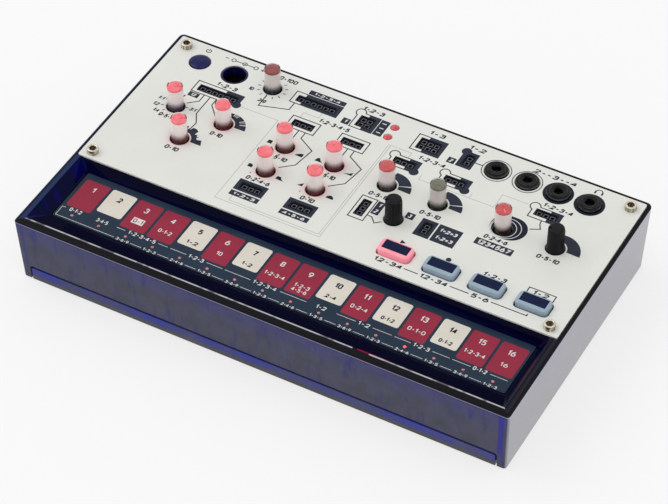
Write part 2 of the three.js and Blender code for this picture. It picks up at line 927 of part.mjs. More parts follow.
// What each control is called, and where it sits on the panel
const knobPlaces = {
  clock: onPanel("clock", "top"),
  ratio: onPanel("ratio", "knob"),
  mod: onPanel("mod", "knob"),
  fold: onPanel("source", "low"),
  attack: onPanel("attack", "knob"),
  shape: onPanel("shape", "knob"),
  release: onPanel("attack", "low"),
  time: onPanel("shape", "low"),
  cutoff_1: onPanel("cutoff1", "knob"),
  cutoff_2: onPanel("cutoff2", "knob"),
  mix: onPanel("mix", "low"),
  amount: onPanel("amount", "knob"),
  volume: onPanel("volume", "knob"),
};
const darkKnobs = ["mix", "volume"];
const buttonPlaces = ["button1", "button2", "button3", "button4"].map((column) => onPanel(column, "button"));
const jackPlaces = ["jack1", "jack2", "jack3", "jack4"].map((column) => onPanel(column, "top"));
const lightPlaces = [1, -1].map((side) => {
  const [x, y] = onPanel("lights", "top");
  return [x, y + (side * lightPitch) / 2];
});

// Patch sockets: place, columns and rows of holes
const patchSockets = {
  source: [onPanel("source", "patch"), 6, 1],
  sequencer: [onPanel("sequencer", "top"), 6, 1],
  function_1: [onPanel("attack", "patch"), 3, 1],
  function_2: [onPanel("shape", "patch"), 3, 1],
  release: [onPanel("attack", "outlet"), 3, 1],
  time: [onPanel("shape", "outlet"), 3, 1],
  random: [onPanel("random", "top"), 2, 2],
  split: [onPanel("split", "top"), 3, 2],
  voltage: [onPanel("voltage", "top"), 1, 2],
  gate_1: [onPanel("cutoff1", "patch"), 3, 1],
  gate_2: [onPanel("cutoff2", "patch"), 3, 1],
  space: [onPanel("space", "patch"), 3, 1],
  utility_in: [onPanel("utilityIn", "low"), 1, 3],
  utility_out: [onPanel("utilityOut", "utilityOut"), 1, 2],
};

// The control panel with all its openings
function topPanel() {
  const through = [panelBottom - overrun, panelTop + overrun];
  const round = (radius) => (place) => rod(place, radius, through);
  const patchSlots = Object.values(patchSockets).map(([[x, y], columns, rows]) => {
    const width = columns * patchPitch + 2 * patchPanelGap;
    const depth = (rows - 1) * patchPitch + patchWidth + 2 * patchPanelGap;
    return box(about(x, width), about(y, depth), through);
  });
  const buttonSlots = buttonPlaces.map((place) =>
    plate([buttonWidth + 2 * sideGap, buttonDepth + 2 * sideGap, buttonCorner], place, through),
  );
  return cut(
    plate([panelWidth, panelDepth, panelCorner], [0, panelMiddle], [panelBottom, panelTop]),
    ...Object.values(knobPlaces).map(round(knobSkirtRadius + sideGap)),
    ...jackPlaces.map(round(jackCollarRadius + seatGap)),
    ...lightPlaces.map(round(lightRadius + seatGap)),
    ...panelScrewPlaces.map(round(screwShankRadius + seatGap)),
    round(powerRadius + seatGap)(onPanel("power", "top")),
    round(inletWellRadius + inletCollarWall + seatGap)(onPanel("source", "top")),
    ...patchSlots,
    ...buttonSlots,
  );
}

// The main board, with a bored potentiometer under each knob and a switch under each button
function mainBoard() {
  const board = box([-boardHalfWidth, boardHalfWidth], [boardFront, boardBack], [boardBottom, boardTop]);
  const pots = Object.values(knobPlaces).map(([x, y]) =>
    box(about(x, potSize), about(y, potSize), [boardBottom, boardTop + potHeight]),
  );
  const bores = Object.values(knobPlaces).map((place) =>
    rod(
      place,
      stemRadius + sideGap,
      [boardTop + potHeight - stemLength, boardTop + potHeight + overrun],
      smallSides,
    ),
  );
  const underButton = panelBottom - sideGap - buttonFlangeHeight - buttonTravel - sideGap;
  const underPower = deckBottom - sideGap - powerFlangeHeight - buttonTravel - sideGap;
  const pushed = [
    ...buttonPlaces.map((place) => [place, underButton]),
    [onPanel("power", "top"), underPower],
  ];
  const switches = pushed.flatMap(([[x, y], top]) => {
    const bodyTop = Math.min(boardTop + switchHeight, top - sideGap);
    return [
      box(about(x, switchSize), about(y, switchSize), [boardBottom, bodyTop]),
      rod([x, y], plungerRadius, [boardTop, top], smallSides),
    ];
  });
  return cut(join(board, ...pots, ...switches), ...bores);
}

// Colours and surfaces
const tintedPlastic = { color: 0x1a1f4d, roughness: 0.12, metalness: 0 };
const paleLacquer = { color: 0xe6e7e2, roughness: 0.5, metalness: 0 };
const slatePrint = { color: 0x2d4155, roughness: 0.25, metalness: 0 };
const circuitGreen = { color: 0x24503c, roughness: 0.5, metalness: 0 };
const clearPlastic = { color: 0xf0a9ac, roughness: 0.15, metalness: 0 };
const blackPlastic = { color: 0x17171a, roughness: 0.5, metalness: 0 };
const paleBluePlastic = { color: 0xa5b4be, roughness: 0.25, metalness: 0 };
const litPinkPlastic = { color: 0xfaa0aa, roughness: 0.25, metalness: 0 };
const navyPlastic = { color: 0x141b5c, roughness: 0.15, metalness: 0 };
const redPlastic = { color: 0xd21f2c, roughness: 0.2, metalness: 0 };
const nickel = { color: 0xb9b4a8, roughness: 0.3, metalness: 1 };
const darkRubber = { color: 0x222224, roughness: 0.85, metalness: 0 };
const springSteel = { color: 0xa8aaac, roughness: 0.35, metalness: 1 };
const ribbonPlastic = { color: 0xd8d8d2, roughness: 0.6, metalness: 0 };
const speakerSteel = { color: 0x3a3b3e, roughness: 0.5, metalness: 0.6 };

const synthesizer = new THREE.Group();

// Adds a solid as a mesh, at its place and turned clockwise about the upright by a number of degrees
function add(name, shape, surface, [x, y, z] = [0, 0, 0], clockwise = 0) {
  const { numProp, vertProperties, triVerts } = shape.getMesh();
  const positions = new Float32Array(triVerts.length * 3);
  triVerts.forEach((corner, i) => {
    positions.set(vertProperties.subarray(corner * numProp, corner * numProp + 3), i * 3);
  });
  const geometry = new THREE.BufferGeometry();
  geometry.setAttribute("position", new THREE.BufferAttribute(positions, 3));
  geometry.computeVertexNormals();
  const mesh = new THREE.Mesh(geometry, new THREE.MeshStandardMaterial(surface));
  mesh.name = name;
  mesh.position.set(x, y, z);
  mesh.rotation.z = -THREE.MathUtils.degToRad(clockwise);
  synthesizer.add(mesh);
}

add("upper_case", upperCase(), tintedPlastic);
add("bottom_case", bottomCase(), tintedPlastic);
add("top_panel", topPanel(), paleLacquer);
add("battery_door", batteryDoor(), tintedPlastic);
add("battery_contact_left", batteryContact(-1), springSteel);
add("battery_contact_right", batteryContact(1), springSteel);
add("main_board", mainBoard(), circuitGreen);
add("ribbon_cable", ribbonCable(), ribbonPlastic);

const overlay = plate(
  [overlayWidth, overlayDepth, overlayCorner],
  [0, overlayMiddle],
  [trayTop - overlayThickness, trayTop],
);
const touchBoard = box(
  about(0, overlayWidth + 2 * touchBoardOverhang),
  about(overlayMiddle, overlayDepth + 2 * touchBoardOverhang),
  [touchBoardBottom, touchBoardTop],
);
add("touch_overlay", overlay, slatePrint);
add("touch_board", touchBoard, circuitGreen);

const clearKnob = knob({ radius: knobRadius, edge: knobEdge });
const darkKnob = knob({ radius: darkKnobRadius, edge: darkKnobEdge, pointer: darkPointerLength });
for (const [name, [x, y]] of Object.entries(knobPlaces)) {
  const dark = darkKnobs.includes(name);
  const foot = [x, y, boardTop + potHeight + sideGap];
  const clockwise = (knobTurnShares[name] * knobTurnDegrees) / 2;
  add(`${name}_knob`, dark ? darkKnob : clearKnob, dark ? blackPlastic : clearPlastic, foot, clockwise);
}

buttonPlaces.forEach(([x, y], i) => {
  const foot = [x, y, panelBottom - sideGap - buttonFlangeHeight];
  add(`function_button_${i + 1}`, functionButton(), i === 0 ? litPinkPlastic : paleBluePlastic, foot);
});
const [powerX, powerY] = onPanel("power", "top");
add("power_button", powerButton(), navyPlastic, [powerX, powerY, deckBottom - sideGap - powerFlangeHeight]);

for (const [name, [[x, y], columns, rows]] of Object.entries(patchSockets)) {
  add(`${name}_patch_socket`, patchHeader(columns, rows), blackPlastic, [x, y, onBoard]);
}
jackPlaces.forEach(([x, y], i) => add(`audio_jack_${i + 1}`, audioJack(), blackPlastic, [x, y, onBoard]));
add("power_inlet", inletSocket(), blackPlastic, [...onPanel("source", "top"), onBoard]);
lightPlaces.forEach(([x, y], i) => add(`signal_light_${i + 1}`, signalLight(), redPlastic, [x, y, onBoard]));

panelScrewPlaces.forEach(([x, y], i) => add(`panel_screw_${i + 1}`, panelScrew(), nickel, [x, y, panelTop]));
caseScrewPlaces.forEach(([x, y], i) => {
  const head = caseBottom + caseScrewHeadDepth - seatGap - caseScrewHeadHeight;
  add(`case_screw_${i + 1}`, caseScrew(), nickel, [x, y, head]);
});
const foot = rod([0, 0], footRadius, [0, footDrop + footPocketDepth - seatGap]);
footPlaces.forEach(([x, y], i) => add(`foot_${i + 1}`, foot, darkRubber, [x, y, 0]));
add("loudspeaker", loudspeaker(), speakerSteel, [...speakerPlace, floorTop + seatGap]);

export default synthesizer;
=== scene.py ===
"""The looks of a palm-sized modular synthesizer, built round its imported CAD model.

Shapes are worked out in millimetres in the frame of the CAD model and scaled to metres once, when
a piece is finished. +X runs to the right, +Y to the back and +Z up.
"""

import json
import logging
import math
from dataclasses import dataclass
from enum import Enum
from functools import cached_property, reduce
from typing import Callable, Iterator, Optional, Sequence

import bmesh
import bpy
from mathutils import Matrix, Vector
from mathutils.geometry import tessellate_polygon


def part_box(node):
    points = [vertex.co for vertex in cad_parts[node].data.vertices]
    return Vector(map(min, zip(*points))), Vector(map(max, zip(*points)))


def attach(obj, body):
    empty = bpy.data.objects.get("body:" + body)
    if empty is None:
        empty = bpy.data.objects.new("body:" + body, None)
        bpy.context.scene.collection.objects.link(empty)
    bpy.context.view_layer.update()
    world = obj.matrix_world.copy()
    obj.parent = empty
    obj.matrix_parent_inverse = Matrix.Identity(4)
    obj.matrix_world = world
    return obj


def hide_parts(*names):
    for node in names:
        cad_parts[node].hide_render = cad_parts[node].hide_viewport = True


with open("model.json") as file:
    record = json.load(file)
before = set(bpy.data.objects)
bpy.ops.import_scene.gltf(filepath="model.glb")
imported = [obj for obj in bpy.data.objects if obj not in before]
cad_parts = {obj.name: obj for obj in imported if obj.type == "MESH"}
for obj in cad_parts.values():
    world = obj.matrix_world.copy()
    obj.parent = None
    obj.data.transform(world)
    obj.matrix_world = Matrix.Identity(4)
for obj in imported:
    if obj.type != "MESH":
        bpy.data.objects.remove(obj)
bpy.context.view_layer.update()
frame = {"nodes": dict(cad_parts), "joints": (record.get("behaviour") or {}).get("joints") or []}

LOG = logging.getLogger("synthesizer")
MILLIMETRE = 0.001
SHARPEST_MITRE = 0.3
COARSER = 14
WELD = 0.002
FINE_SIDES = 56
Point = tuple[float, float]
Place = tuple[float, float, float]
Outline = list[Point]
Contour = Callable[[float], Outline]
Colour = tuple[float, float, float, float]
Socket = bpy.types.NodeSocket
Sockets = bpy.types.bpy_prop_collection
Object = bpy.types.Object
Pieces = Iterator[Object]
Layers = list[tuple[Socket, Colour]]
Rows = tuple[tuple, ...]


def srgb(red: float, green: float, blue: float) -> Colour:
    """Turns a screen colour, with channels from 0 to 255, into a linear one."""
    shares = (channel / 255 for channel in (red, green, blue))
    return (*(c / 12.92 if c <= 0.04045 else ((c + 0.055) / 1.055) ** 2.4 for c in shares), 1.0)


def mixed(first: Colour, second: Colour, share: float) -> Colour:
    """Mixes two linear colours, with this share of the second."""
    return (*(a + (b - a) * share for a, b in zip(first[:3], second[:3])), 1.0)


def circle(centre: Point, radius: float, sides: int = 32) -> Outline:
    """Walks round a circle against the clock."""
    turns = [math.tau * i / sides for i in range(sides)]
    return [(centre[0] + radius * math.cos(a), centre[1] + radius * math.sin(a)) for a in turns]


def arc(centre: Point, radius: float, start: float, end: float, steps: int = 12) -> Outline:
    """Walks along an arc between two directions in degrees from +X."""
    turns = [math.radians(start + (end - start) * i / steps) for i in range(steps + 1)]
    return [(centre[0] + radius * math.cos(a), centre[1] + radius * math.sin(a)) for a in turns]


def rounding(radius: float, *turns: float) -> list[Point]:
    """Lists how far a round edge goes in and how far it rises at each turn in degrees."""
    angles = [math.radians(turn) for turn in turns]
    return [(radius * (1 - math.cos(angle)), radius * math.sin(angle)) for angle in angles]


@dataclass(frozen=True)
class Rect:
    """An upright rectangle of the plan, in millimetres."""

    left: float
    right: float
    front: float
    back: float

    @classmethod
    def about(cls, x: float, y: float, width: float, depth: float) -> "Rect":
        """Makes a rectangle of a width and a depth round a middle point."""
        return cls(x - width / 2, x + width / 2, y - depth / 2, y + depth / 2)

    @classmethod
    def of_node(cls, node: str) -> "Rect":
        """Reads the plan of a CAD node."""
        low, high = (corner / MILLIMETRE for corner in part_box(node))
        return cls(low.x, high.x, low.y, high.y)

    @property
    def middle(self) -> Point:
        """The middle point."""
        return ((self.left + self.right) / 2, (self.front + self.back) / 2)

    @property
    def width(self) -> float:
        """The size along X."""
        return self.right - self.left

    @property
    def depth(self) -> float:
        """The size along Y."""
        return self.back - self.front

    def grown(self, by: float, deep: Optional[float] = None) -> "Rect":
        """Moves the sides out by a length, and the front and the back by another one if it is given."""
        end = by if deep is None else deep
        return Rect(self.left - by, self.right + by, self.front - end, self.back + end)

    def outline(self, corner: float = 0.0, steps: int = 6, near: Optional[float] = None) -> Outline:
        """Walks round the rectangle against the clock.

        Args:
            corner: The radius of the corners.
            steps: How many pieces each corner has.
            near: The radius of the two front corners, or None for the same.

        Returns:
            The points of the outline.
        """
        left, right, front, back = self.left, self.right, self.front, self.back
        if corner <= 0:
            return [(left, front), (right, front), (right, back), (left, back)]
        near = corner if near is None else near
        return [
            *arc((right - near, front + near), near, -90, 0, steps),
            *arc((right - corner, back - corner), corner, 0, 90, steps),
            *arc((left + corner, back - corner), corner, 90, 180, steps),
            *arc((left + near, front + near), near, 180, 270, steps),
        ]


def heights(node: str) -> Point:
    """Reads the lowest and the highest place of a CAD node."""
    low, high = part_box(node)
    return low.z / MILLIMETRE, high.z / MILLIMETRE


def nodes_named(*words: str) -> list[str]:
    """Lists the CAD nodes whose names hold one of these words."""
    return [node for node in frame["nodes"] if any(word in node for word in words)]


def stroke(path: Sequence[Point], width: float, closed: bool = False) -> list[Outline]:
    """Gives a path its width, with mitred bends.

    Args:
        path: The points that the line follows.
        width: The width of the line.
        closed: Whether the last point joins the first.

    Returns:
        One outline for an open line, or one for each stretch of a closed one.
    """
    count = len(path)
    sides: list[tuple[Point, Point]] = []
    for i, (x, y) in enumerate(path):
        ways = []
        if closed or i > 0:
            ways.append(Vector((x - path[i - 1][0], y - path[i - 1][1])).normalized())
        if closed or i < count - 1:
            after = path[(i + 1) % count]
            ways.append(Vector((after[0] - x, after[1] - y)).normalized())
        way = sum(ways, Vector((0.0, 0.0))).normalized()
        reach = width / 2 / max(way.dot(ways[0]), SHARPEST_MITRE)
        sides.append(((x - way.y * reach, y + way.x * reach), (x + way.y * reach, y - way.x * reach)))
    if not closed:
        return [[right for _, right in sides] + [left for left, _ in reversed(sides)]]
    pairs = zip(sides, sides[1:] + sides[:1])
    return [[right, next_right, next_left, left] for (left, right), (next_left, next_right) in pairs]


class Maker:
    """Collects the faces of one piece, in millimetres."""

    def __init__(self) -> None:
        """Starts with nothing."""
        self.points: list[Place] = []
        self.faces: list[list[int]] = []

    def _ring(self, outline: Outline, height: float) -> list[int]:
        """Adds the corners of an outline at a height and gives their numbers."""
        self.points += [(x, y, height) for x, y in outline]
        return list(range(len(self.points) - len(outline), len(self.points)))

    def _join(self, loops: Sequence[list[int]]) -> None:
        """Adds the walls between loops of corners, one above the other.

        Args:
            loops: The loops; one of a single corner is a point on the axis.
        """
        for low, high in zip(loops, loops[1:]):
            count = max(len(low), len(high))
            for i in range(count if count > 1 else 0):
                j = (i + 1) % count
                corners = (low[i % len(low)], low[j % len(low)], high[j % len(high)], high[i % len(high)])
                self.faces.append(list(dict.fromkeys(corners)))

    def loft(self, rings: Sequence[tuple[Outline, float]]) -> "Maker":
        """Adds a closed body through outlines of as many points each, from the foot up.

        Args:
            rings: Each outline with its height.

        Returns:
            The same maker.
        """
        loops = [self._ring(outline, height) for outline, height in rings]
        self.faces.append(loops[0][::-1])
        self._join(loops)
        self.faces.append(loops[-1])
        return self

    def prism(self, outline: Outline, bottom: float, top: float) -> "Maker":
        """Adds an upright prism between two heights."""
        return self.loft([(outline, bottom), (outline, top)])

    def slab(self, rect: Rect, corner: float, bottom: float, top: float, edge: float) -> "Maker":
        """Adds a plate with round corners and a rounded top edge.

        Args:
            rect: Its plan.
            corner: The radius of its corners.
            bottom: The height of its foot.
            top: The height of its top.
            edge: The radius of its top edge.

        Returns:
            The same maker.
        """
        rings = [(rect.outline(corner), bottom)]
        for inset, rise in rounding(edge, 0, 30, 60, 90):
            rings.append((rect.grown(-inset).outline(max(corner - inset, 0.02)), top - edge + rise))
        return self.loft(rings)

    def lathe(self, profile: Sequence[Point], centre: Point, sides: int = 40, ring: bool = False) -> "Maker":
        """Adds a body turned about an upright axis.

        Args:
            profile: Radius and height of each point, from the axis at the foot to the axis at the top.
            centre: Where the axis stands.
            sides: How many points each circle has.
            ring: Whether the profile closes on itself instead of on the axis.

        Returns:
            The same maker.
        """
        loops = [self._ring([centre] if r <= 0 else circle(centre, r, sides), z) for r, z in profile]
        self._join(loops + loops[:1] if ring else loops)
        return self

    def holed_plate(self, contours: Sequence[Contour], bottom: float, top: float, edge: float) -> "Maker":
        """Adds a plate with holes, with a small round along every top edge.

        Args:
            contours: The outside and then each hole; each gives its outline moved into the plate.
            bottom: The height of the underside.
            top: The height of the top.
            edge: The radius of the top edges.

        Returns:
            The same maker.
        """
        levels = [(0.0, bottom)] + [(inset, top - edge + rise) for inset, rise in rounding(edge, 0, 45, 90)]
        feet, crowns = [], []
        for contour in contours:
            loops = [self._ring(contour(inset), height) for inset, height in levels]
            self._join(loops)
            feet.append(loops[0])
            crowns.append(loops[-1])
        for loops in (feet, crowns):
            flat = [index for loop in loops for index in loop]
            cloud = [[Vector((*self.points[i][:2], 0.0)) for i in loop] for loop in loops]
            self.faces += [[flat[i] for i in triangle] for triangle in tessellate_polygon(cloud)]
        return self

    def mesh(self, name: str) -> bpy.types.Mesh:
        """Makes the mesh, in metres, with every face outwards.

        Args:
            name: The mesh's name.

        Returns:
            The mesh.
        """
        made = bpy.data.meshes.new(name)
        made.from_pydata([[MILLIMETRE * value for value in point] for point in self.points], [], self.faces)
        shape = bmesh.new()
        shape.from_mesh(made)
        bmesh.ops.recalc_face_normals(shape, faces=shape.faces)
        shape.to_mesh(made)
        shape.free()
        made.update()
        return made

    def piece(
        self, name: str, finish: "Finish", smooth: Optional[float] = 32.0, cutters: Sequence["Maker"] = ()
    ) -> Object:
        """Makes the object with its finish.

        Args:
            name: The object's name.
            finish: Its finish.
            smooth: The angle in degrees up to which edges are smooth, or None for flat faces.
            cutters: What is cut out of it.

        Returns:
            The object.
        """
        made = placed(name, self.mesh(name))
        made.data.materials.append(finish.material())
        if cutters:
            carve(made, cutters)
        return made if smooth is None else even_out(made, smooth)


def placed(name: str, data: bpy.types.ID) -> Object:
    """Makes an object of some data and links it to the scene.

    Args:
        name: Its name.
        data: The mesh, lamp or camera that it holds.

    Returns:
        The object.
    """
    made = bpy.data.objects.new(name, data)
    bpy.context.scene.collection.objects.link(made)
    return made


def bake(piece: Object) -> Object:
    """Turns a piece's modifiers into plain mesh.

    Args:
        piece: The piece.

    Returns:
        The same object, with its mesh as its modifiers leave it.
    """
    bpy.context.view_layer.update()
    shaped = piece.evaluated_get(bpy.context.evaluated_depsgraph_get())
    made = bpy.data.meshes.new_from_object(shaped)
    piece.modifiers.clear()
    piece.data = made
    return piece


def even_out(piece: Object, angle: float) -> Object:
    """Smooths a piece's round faces and keeps its flats flat.

    Args:
        piece: The piece.
        angle: The angle in degrees up to which edges are smooth.

    Returns:
        The same object.
    """
    piece.data.shade_smooth()
    piece.data.set_sharp_from_angle(angle=math.radians(angle))
    piece.modifiers.new("weights", "WEIGHTED_NORMAL").keep_sharp = True
    return bake(piece)


def carve(whole: Object, cutters: Sequence[Maker]) -> None:
    """Cuts shapes out of a piece.

    Args:
        whole: The piece.
        cutters: What is taken out of it.
    """
    tools = [placed(f"cutter_{i}", cutter.mesh(f"cutter_{i}")) for i, cutter in enumerate(cutters)]
    for tool in tools:
        cut = whole.modifiers.new(tool.name, "BOOLEAN")
        cut.operation = "DIFFERENCE"
        cut.solver = "EXACT"
        cut.object = tool
    bake(whole)
    for tool in tools:
        bpy.data.meshes.remove(tool.data)


def refined(node: str, finish: "Finish", edge: float, sharp: float = 25.0) -> Object:
    """Copies a CAD node's shape and rounds its edges.

    Args:
        node: The CAD node.
        finish: The finish of the copy.
        edge: The radius of its edges in millimetres.
        sharp: The angle in degrees from which an edge is rounded.

    Returns:
        The new piece.
    """
    made = placed(f"{node}_finished", frame["nodes"][node].data.copy())
    made.data.materials.clear()
    made.data.materials.append(finish.material())
    made.data.polygons.foreach_set("material_index", [0] * len(made.data.polygons))
    shape = bmesh.new()
    shape.from_mesh(made.data)
    bmesh.ops.remove_doubles(shape, verts=shape.verts, dist=WELD * MILLIMETRE)
    bmesh.ops.dissolve_limit(shape, angle_limit=math.radians(1), verts=shape.verts, edges=shape.edges)
    bmesh.ops.recalc_face_normals(shape, faces=shape.faces)
    shape.to_mesh(made.data)
    shape.free()
    if "custom_normal" in made.data.attributes:
        made.data.attributes.remove(made.data.attributes["custom_normal"])
    bevel = made.modifiers.new("edges", "BEVEL")
    bevel.width = edge * MILLIMETRE
    bevel.segments = 2
    bevel.limit_method = "ANGLE"
    bevel.angle_limit = math.radians(sharp)
    bevel.use_clamp_overlap = True
    return even_out(bake(made), sharp + 10)


def seat(piece: Object, body: str, slot: str, *nodes: str) -> Object:
    """Lets a piece ride on a body of the CAD model, hides the CAD nodes that it replaces and logs it.

    Args:
        piece: The finished piece.
        body: The CAD body that it moves with.
        slot: The record's material slot that its finish comes from; not used.
        nodes: The CAD nodes that it replaces.

    Returns:
        The same object.
    """
    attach(piece, body)
    if nodes:
        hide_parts(*nodes)
    LOG.info("%s rides on %s, %d faces", piece.name, body, len(piece.data.polygons))
    return piece


class Graph:
    """Places and links the nodes of one tree."""

    def __init__(self, tree: bpy.types.NodeTree) -> None:
        """Starts on a tree."""
        self.tree = tree

    def node(self, kind: str, inputs: Optional[dict] = None, **settings: object) -> bpy.types.Node:
        """Places a node.

        Args:
            kind: The node's type.
            inputs: A value or an output socket for each input, by name or number.
            settings: The node's own properties.

        Returns:
            The node.
        """
        made = self.tree.nodes.new(kind)
        for key, value in settings.items():
            setattr(made, key, value)
        for key, value in (inputs or {}).items():
            if isinstance(value, Socket):
                self.tree.links.new(value, made.inputs[key])
            else:
                made.inputs[key].default_value = value
        return made

    def math(self, operation: str, *values: object) -> Socket:
        """Calculates with numbers and sockets."""
        return self.node("ShaderNodeMath", dict(enumerate(values)), operation=operation).outputs[0]

    def times(self, *factors: object) -> Socket:
        """Multiplies from left to right."""
        return reduce(lambda product, factor: self.math("MULTIPLY", product, factor), factors)

    def rest(self, share: Socket) -> Socket:
        """Takes a share from 1."""
        return self.math("SUBTRACT", 1.0, share)

    def length(self, across: Socket, along: Socket) -> Socket:
        """Works out the length of a way from its two sides."""
        return self.math("SQRT", self.math("ADD", self.times(across, across), self.times(along, along)))

    def ramp(self, value: Socket, low: object, high: object) -> Socket:
        """Rises softly from 0 at the low value to 1 at the high one."""
        inputs = {"Value": value, "From Min": low, "From Max": high}
        return self.node("ShaderNodeMapRange", inputs, interpolation_type="SMOOTHSTEP").outputs[0]

    def mix(self, share: object, first: object, second: object) -> Socket:
        """Mixes two colours, with this share of the second."""
        return self.node("ShaderNodeMix", {0: share, 6: first, 7: second}, data_type="RGBA").outputs[2]

    def layered(self, colour: Socket, *layers: tuple[Socket, Colour]) -> Socket:
        """Lays tints over a colour, each by its share."""
        return reduce(lambda below, layer: self.mix(layer[0], below, layer[1]), layers, colour)

    def vector(self, *values: object) -> Socket:
        """Joins numbers into a vector."""
        return self.node("ShaderNodeCombineXYZ", dict(enumerate(values))).outputs[0]

    def noise(self, place: Socket, scale: object, detail: float, **more: float) -> Socket:
        """Makes a cloudy pattern."""
        inputs = {"Vector": place, "Scale": scale, "Detail": detail, **more}
        return self.node("ShaderNodeTexNoise", inputs).outputs[0]

    @cached_property
    def place(self) -> Socket:
        """The place on the piece, in metres."""
        return self.node("ShaderNodeTexCoord").outputs["Object"]

    @cached_property
    def axes(self) -> list[Socket]:
        """The place on the piece as X, Y and Z in millimetres."""
        inputs = {0: self.place, "Scale": 1 / MILLIMETRE}
        scaled = self.node("ShaderNodeVectorMath", inputs, operation="SCALE").outputs[0]
        return list(self.node("ShaderNodeSeparateXYZ", {0: scaled}).outputs)

    def effect(self, kind: "Effect", inputs: dict) -> Sockets:
        """Places a shared effect of the place with its other values, and gives its outputs."""
        return self.node("ShaderNodeGroup", {"Place": self.place} | inputs, node_tree=kind.tree()).outputs

    def drift(self, scale: float, first: Colour, second: Colour) -> Socket:
        """Drifts slowly between two colours."""
        return self.effect(Effect.DRIFT, {"Scale": scale, "First": first, "Second": second})[0]

    def band(self, value: Socket, low: float, high: float, soft: float) -> Socket:
        """Marks where a value lies between two others, with soft edges."""
        inputs = {"Value": value, "Low": low, "High": high, "Soft": soft}
        return self.node("ShaderNodeGroup", inputs, node_tree=Effect.BAND.tree()).outputs[0]

    def streaks(self, scale: float, stretch: Place, low: float, high: float) -> Socket:
        """Marks long soft streaks."""
        inputs = {"Scale": scale, "Stretch": stretch, "Low": low, "High": high}
        return self.effect(Effect.STREAKS, inputs)[0]

    def bump(self, height: Socket, strength: float, distance: float) -> Socket:
        """Turns a height into a relief of so many millimetres."""
        inputs = {"Height": height, "Strength": strength, "Distance": distance * MILLIMETRE}
        return self.node("ShaderNodeBump", inputs).outputs[0]

    def takes(self, **kinds: str) -> Sockets:
        """Opens the inputs of a group, each of its kind, and gives their sockets.

        Args:
            kinds: The type of each input by name.

        Returns:
            The sockets by name.
        """
        for name, kind in kinds.items():
            self.tree.interface.new_socket(name, in_out="INPUT", socket_type=f"NodeSocket{kind}")
        return self.node("NodeGroupInput").outputs

    def gives(self, kind: str, **results: Socket) -> None:
        """Opens the outputs of a group.

        Args:
            kind: The type of all of them.
            results: What each puts out, by name.
        """
        for name in results:
            self.tree.interface.new_socket(name, in_out="OUTPUT", socket_type=f"NodeSocket{kind}")
        self.node("NodeGroupOutput", results)


class Effect(Enum):
    """Shader effects that several finishes share, each a node group that is built once."""

    GRAIN = "surface_grain"
    DRIFT = "colour_drift"
    BAND = "soft_band"
    STREAKS = "moulding_streaks"

    def tree(self) -> bpy.types.NodeTree:
        """Finds the group, or builds it.

        Returns:
            The node group.
        """
        known = bpy.data.node_groups.get(self.value)
        if known:
            return known
        tree = bpy.data.node_groups.new(self.value, "ShaderNodeTree")
        builders = {Effect.GRAIN: self._grain, Effect.DRIFT: self._drift, Effect.BAND: self._band}
        builders[Effect.STREAKS] = self._streaks
        builders[self](Graph(tree))
        return tree

    def _grain(self, graph: Graph) -> None:
        """Builds a fine moulded grain over a coarser one.

        Args:
            graph: The empty group.
        """
        given = graph.takes(Place="Vector", Scale="Float", Coarse="Float")
        fine = graph.noise(given["Place"], given["Scale"], 3.0)
        coarse = graph.noise(given["Place"], given["Coarse"], 2.0)
        height = graph.math("ADD", graph.times(fine, 0.7), graph.times(coarse, 0.3))
        graph.gives("Float", Height=height, Mask=graph.math("SUBTRACT", coarse, 0.5))

    def _drift(self, graph: Graph) -> None:
        """Builds a slow drift between two colours with fine specks in it.

        Args:
            graph: The empty group.
        """
        given = graph.takes(Place="Vector", Scale="Float", First="Color", Second="Color")
        slow = graph.noise(given["Place"], given["Scale"], 4.0)
        specks = graph.noise(given["Place"], graph.times(given["Scale"], 23.0), 1.0)
        share = graph.ramp(graph.math("ADD", graph.times(slow, 0.75), graph.times(specks, 0.25)), 0.3, 0.7)
        graph.gives("Color", Colour=graph.mix(share, given["First"], given["Second"]))

    def _band(self, graph: Graph) -> None:
        """Builds a mask that is 1 between two values and fades over a soft edge.

        Args:
            graph: The empty group.
        """
        given = graph.takes(Value="Float", Low="Float", High="Float", Soft="Float")
        sides = []
        for first, second in (("Value", "Low"), ("High", "Value")):
            inside = graph.math("DIVIDE", graph.math("SUBTRACT", given[first], given[second]), given["Soft"])
            sides.append(graph.ramp(inside, -0.5, 0.5))
        graph.gives("Float", Mask=graph.times(*sides))

    def _streaks(self, graph: Graph) -> None:
        """Builds long soft streaks, as light makes in clear tinted plastic; they serve for painted light and
        for turning marks.

        Args:
            graph: The empty group.
        """
        given = graph.takes(Place="Vector", Scale="Float", Stretch="Vector", Low="Float", High="Float")
        stretched = graph.node("ShaderNodeMapping", {"Vector": given["Place"], "Scale": given["Stretch"]})
        noise = graph.noise(stretched.outputs[0], given["Scale"], 3.0, Roughness=0.6)
        graph.gives("Float", Mask=graph.ramp(noise, given["Low"], given["High"]))


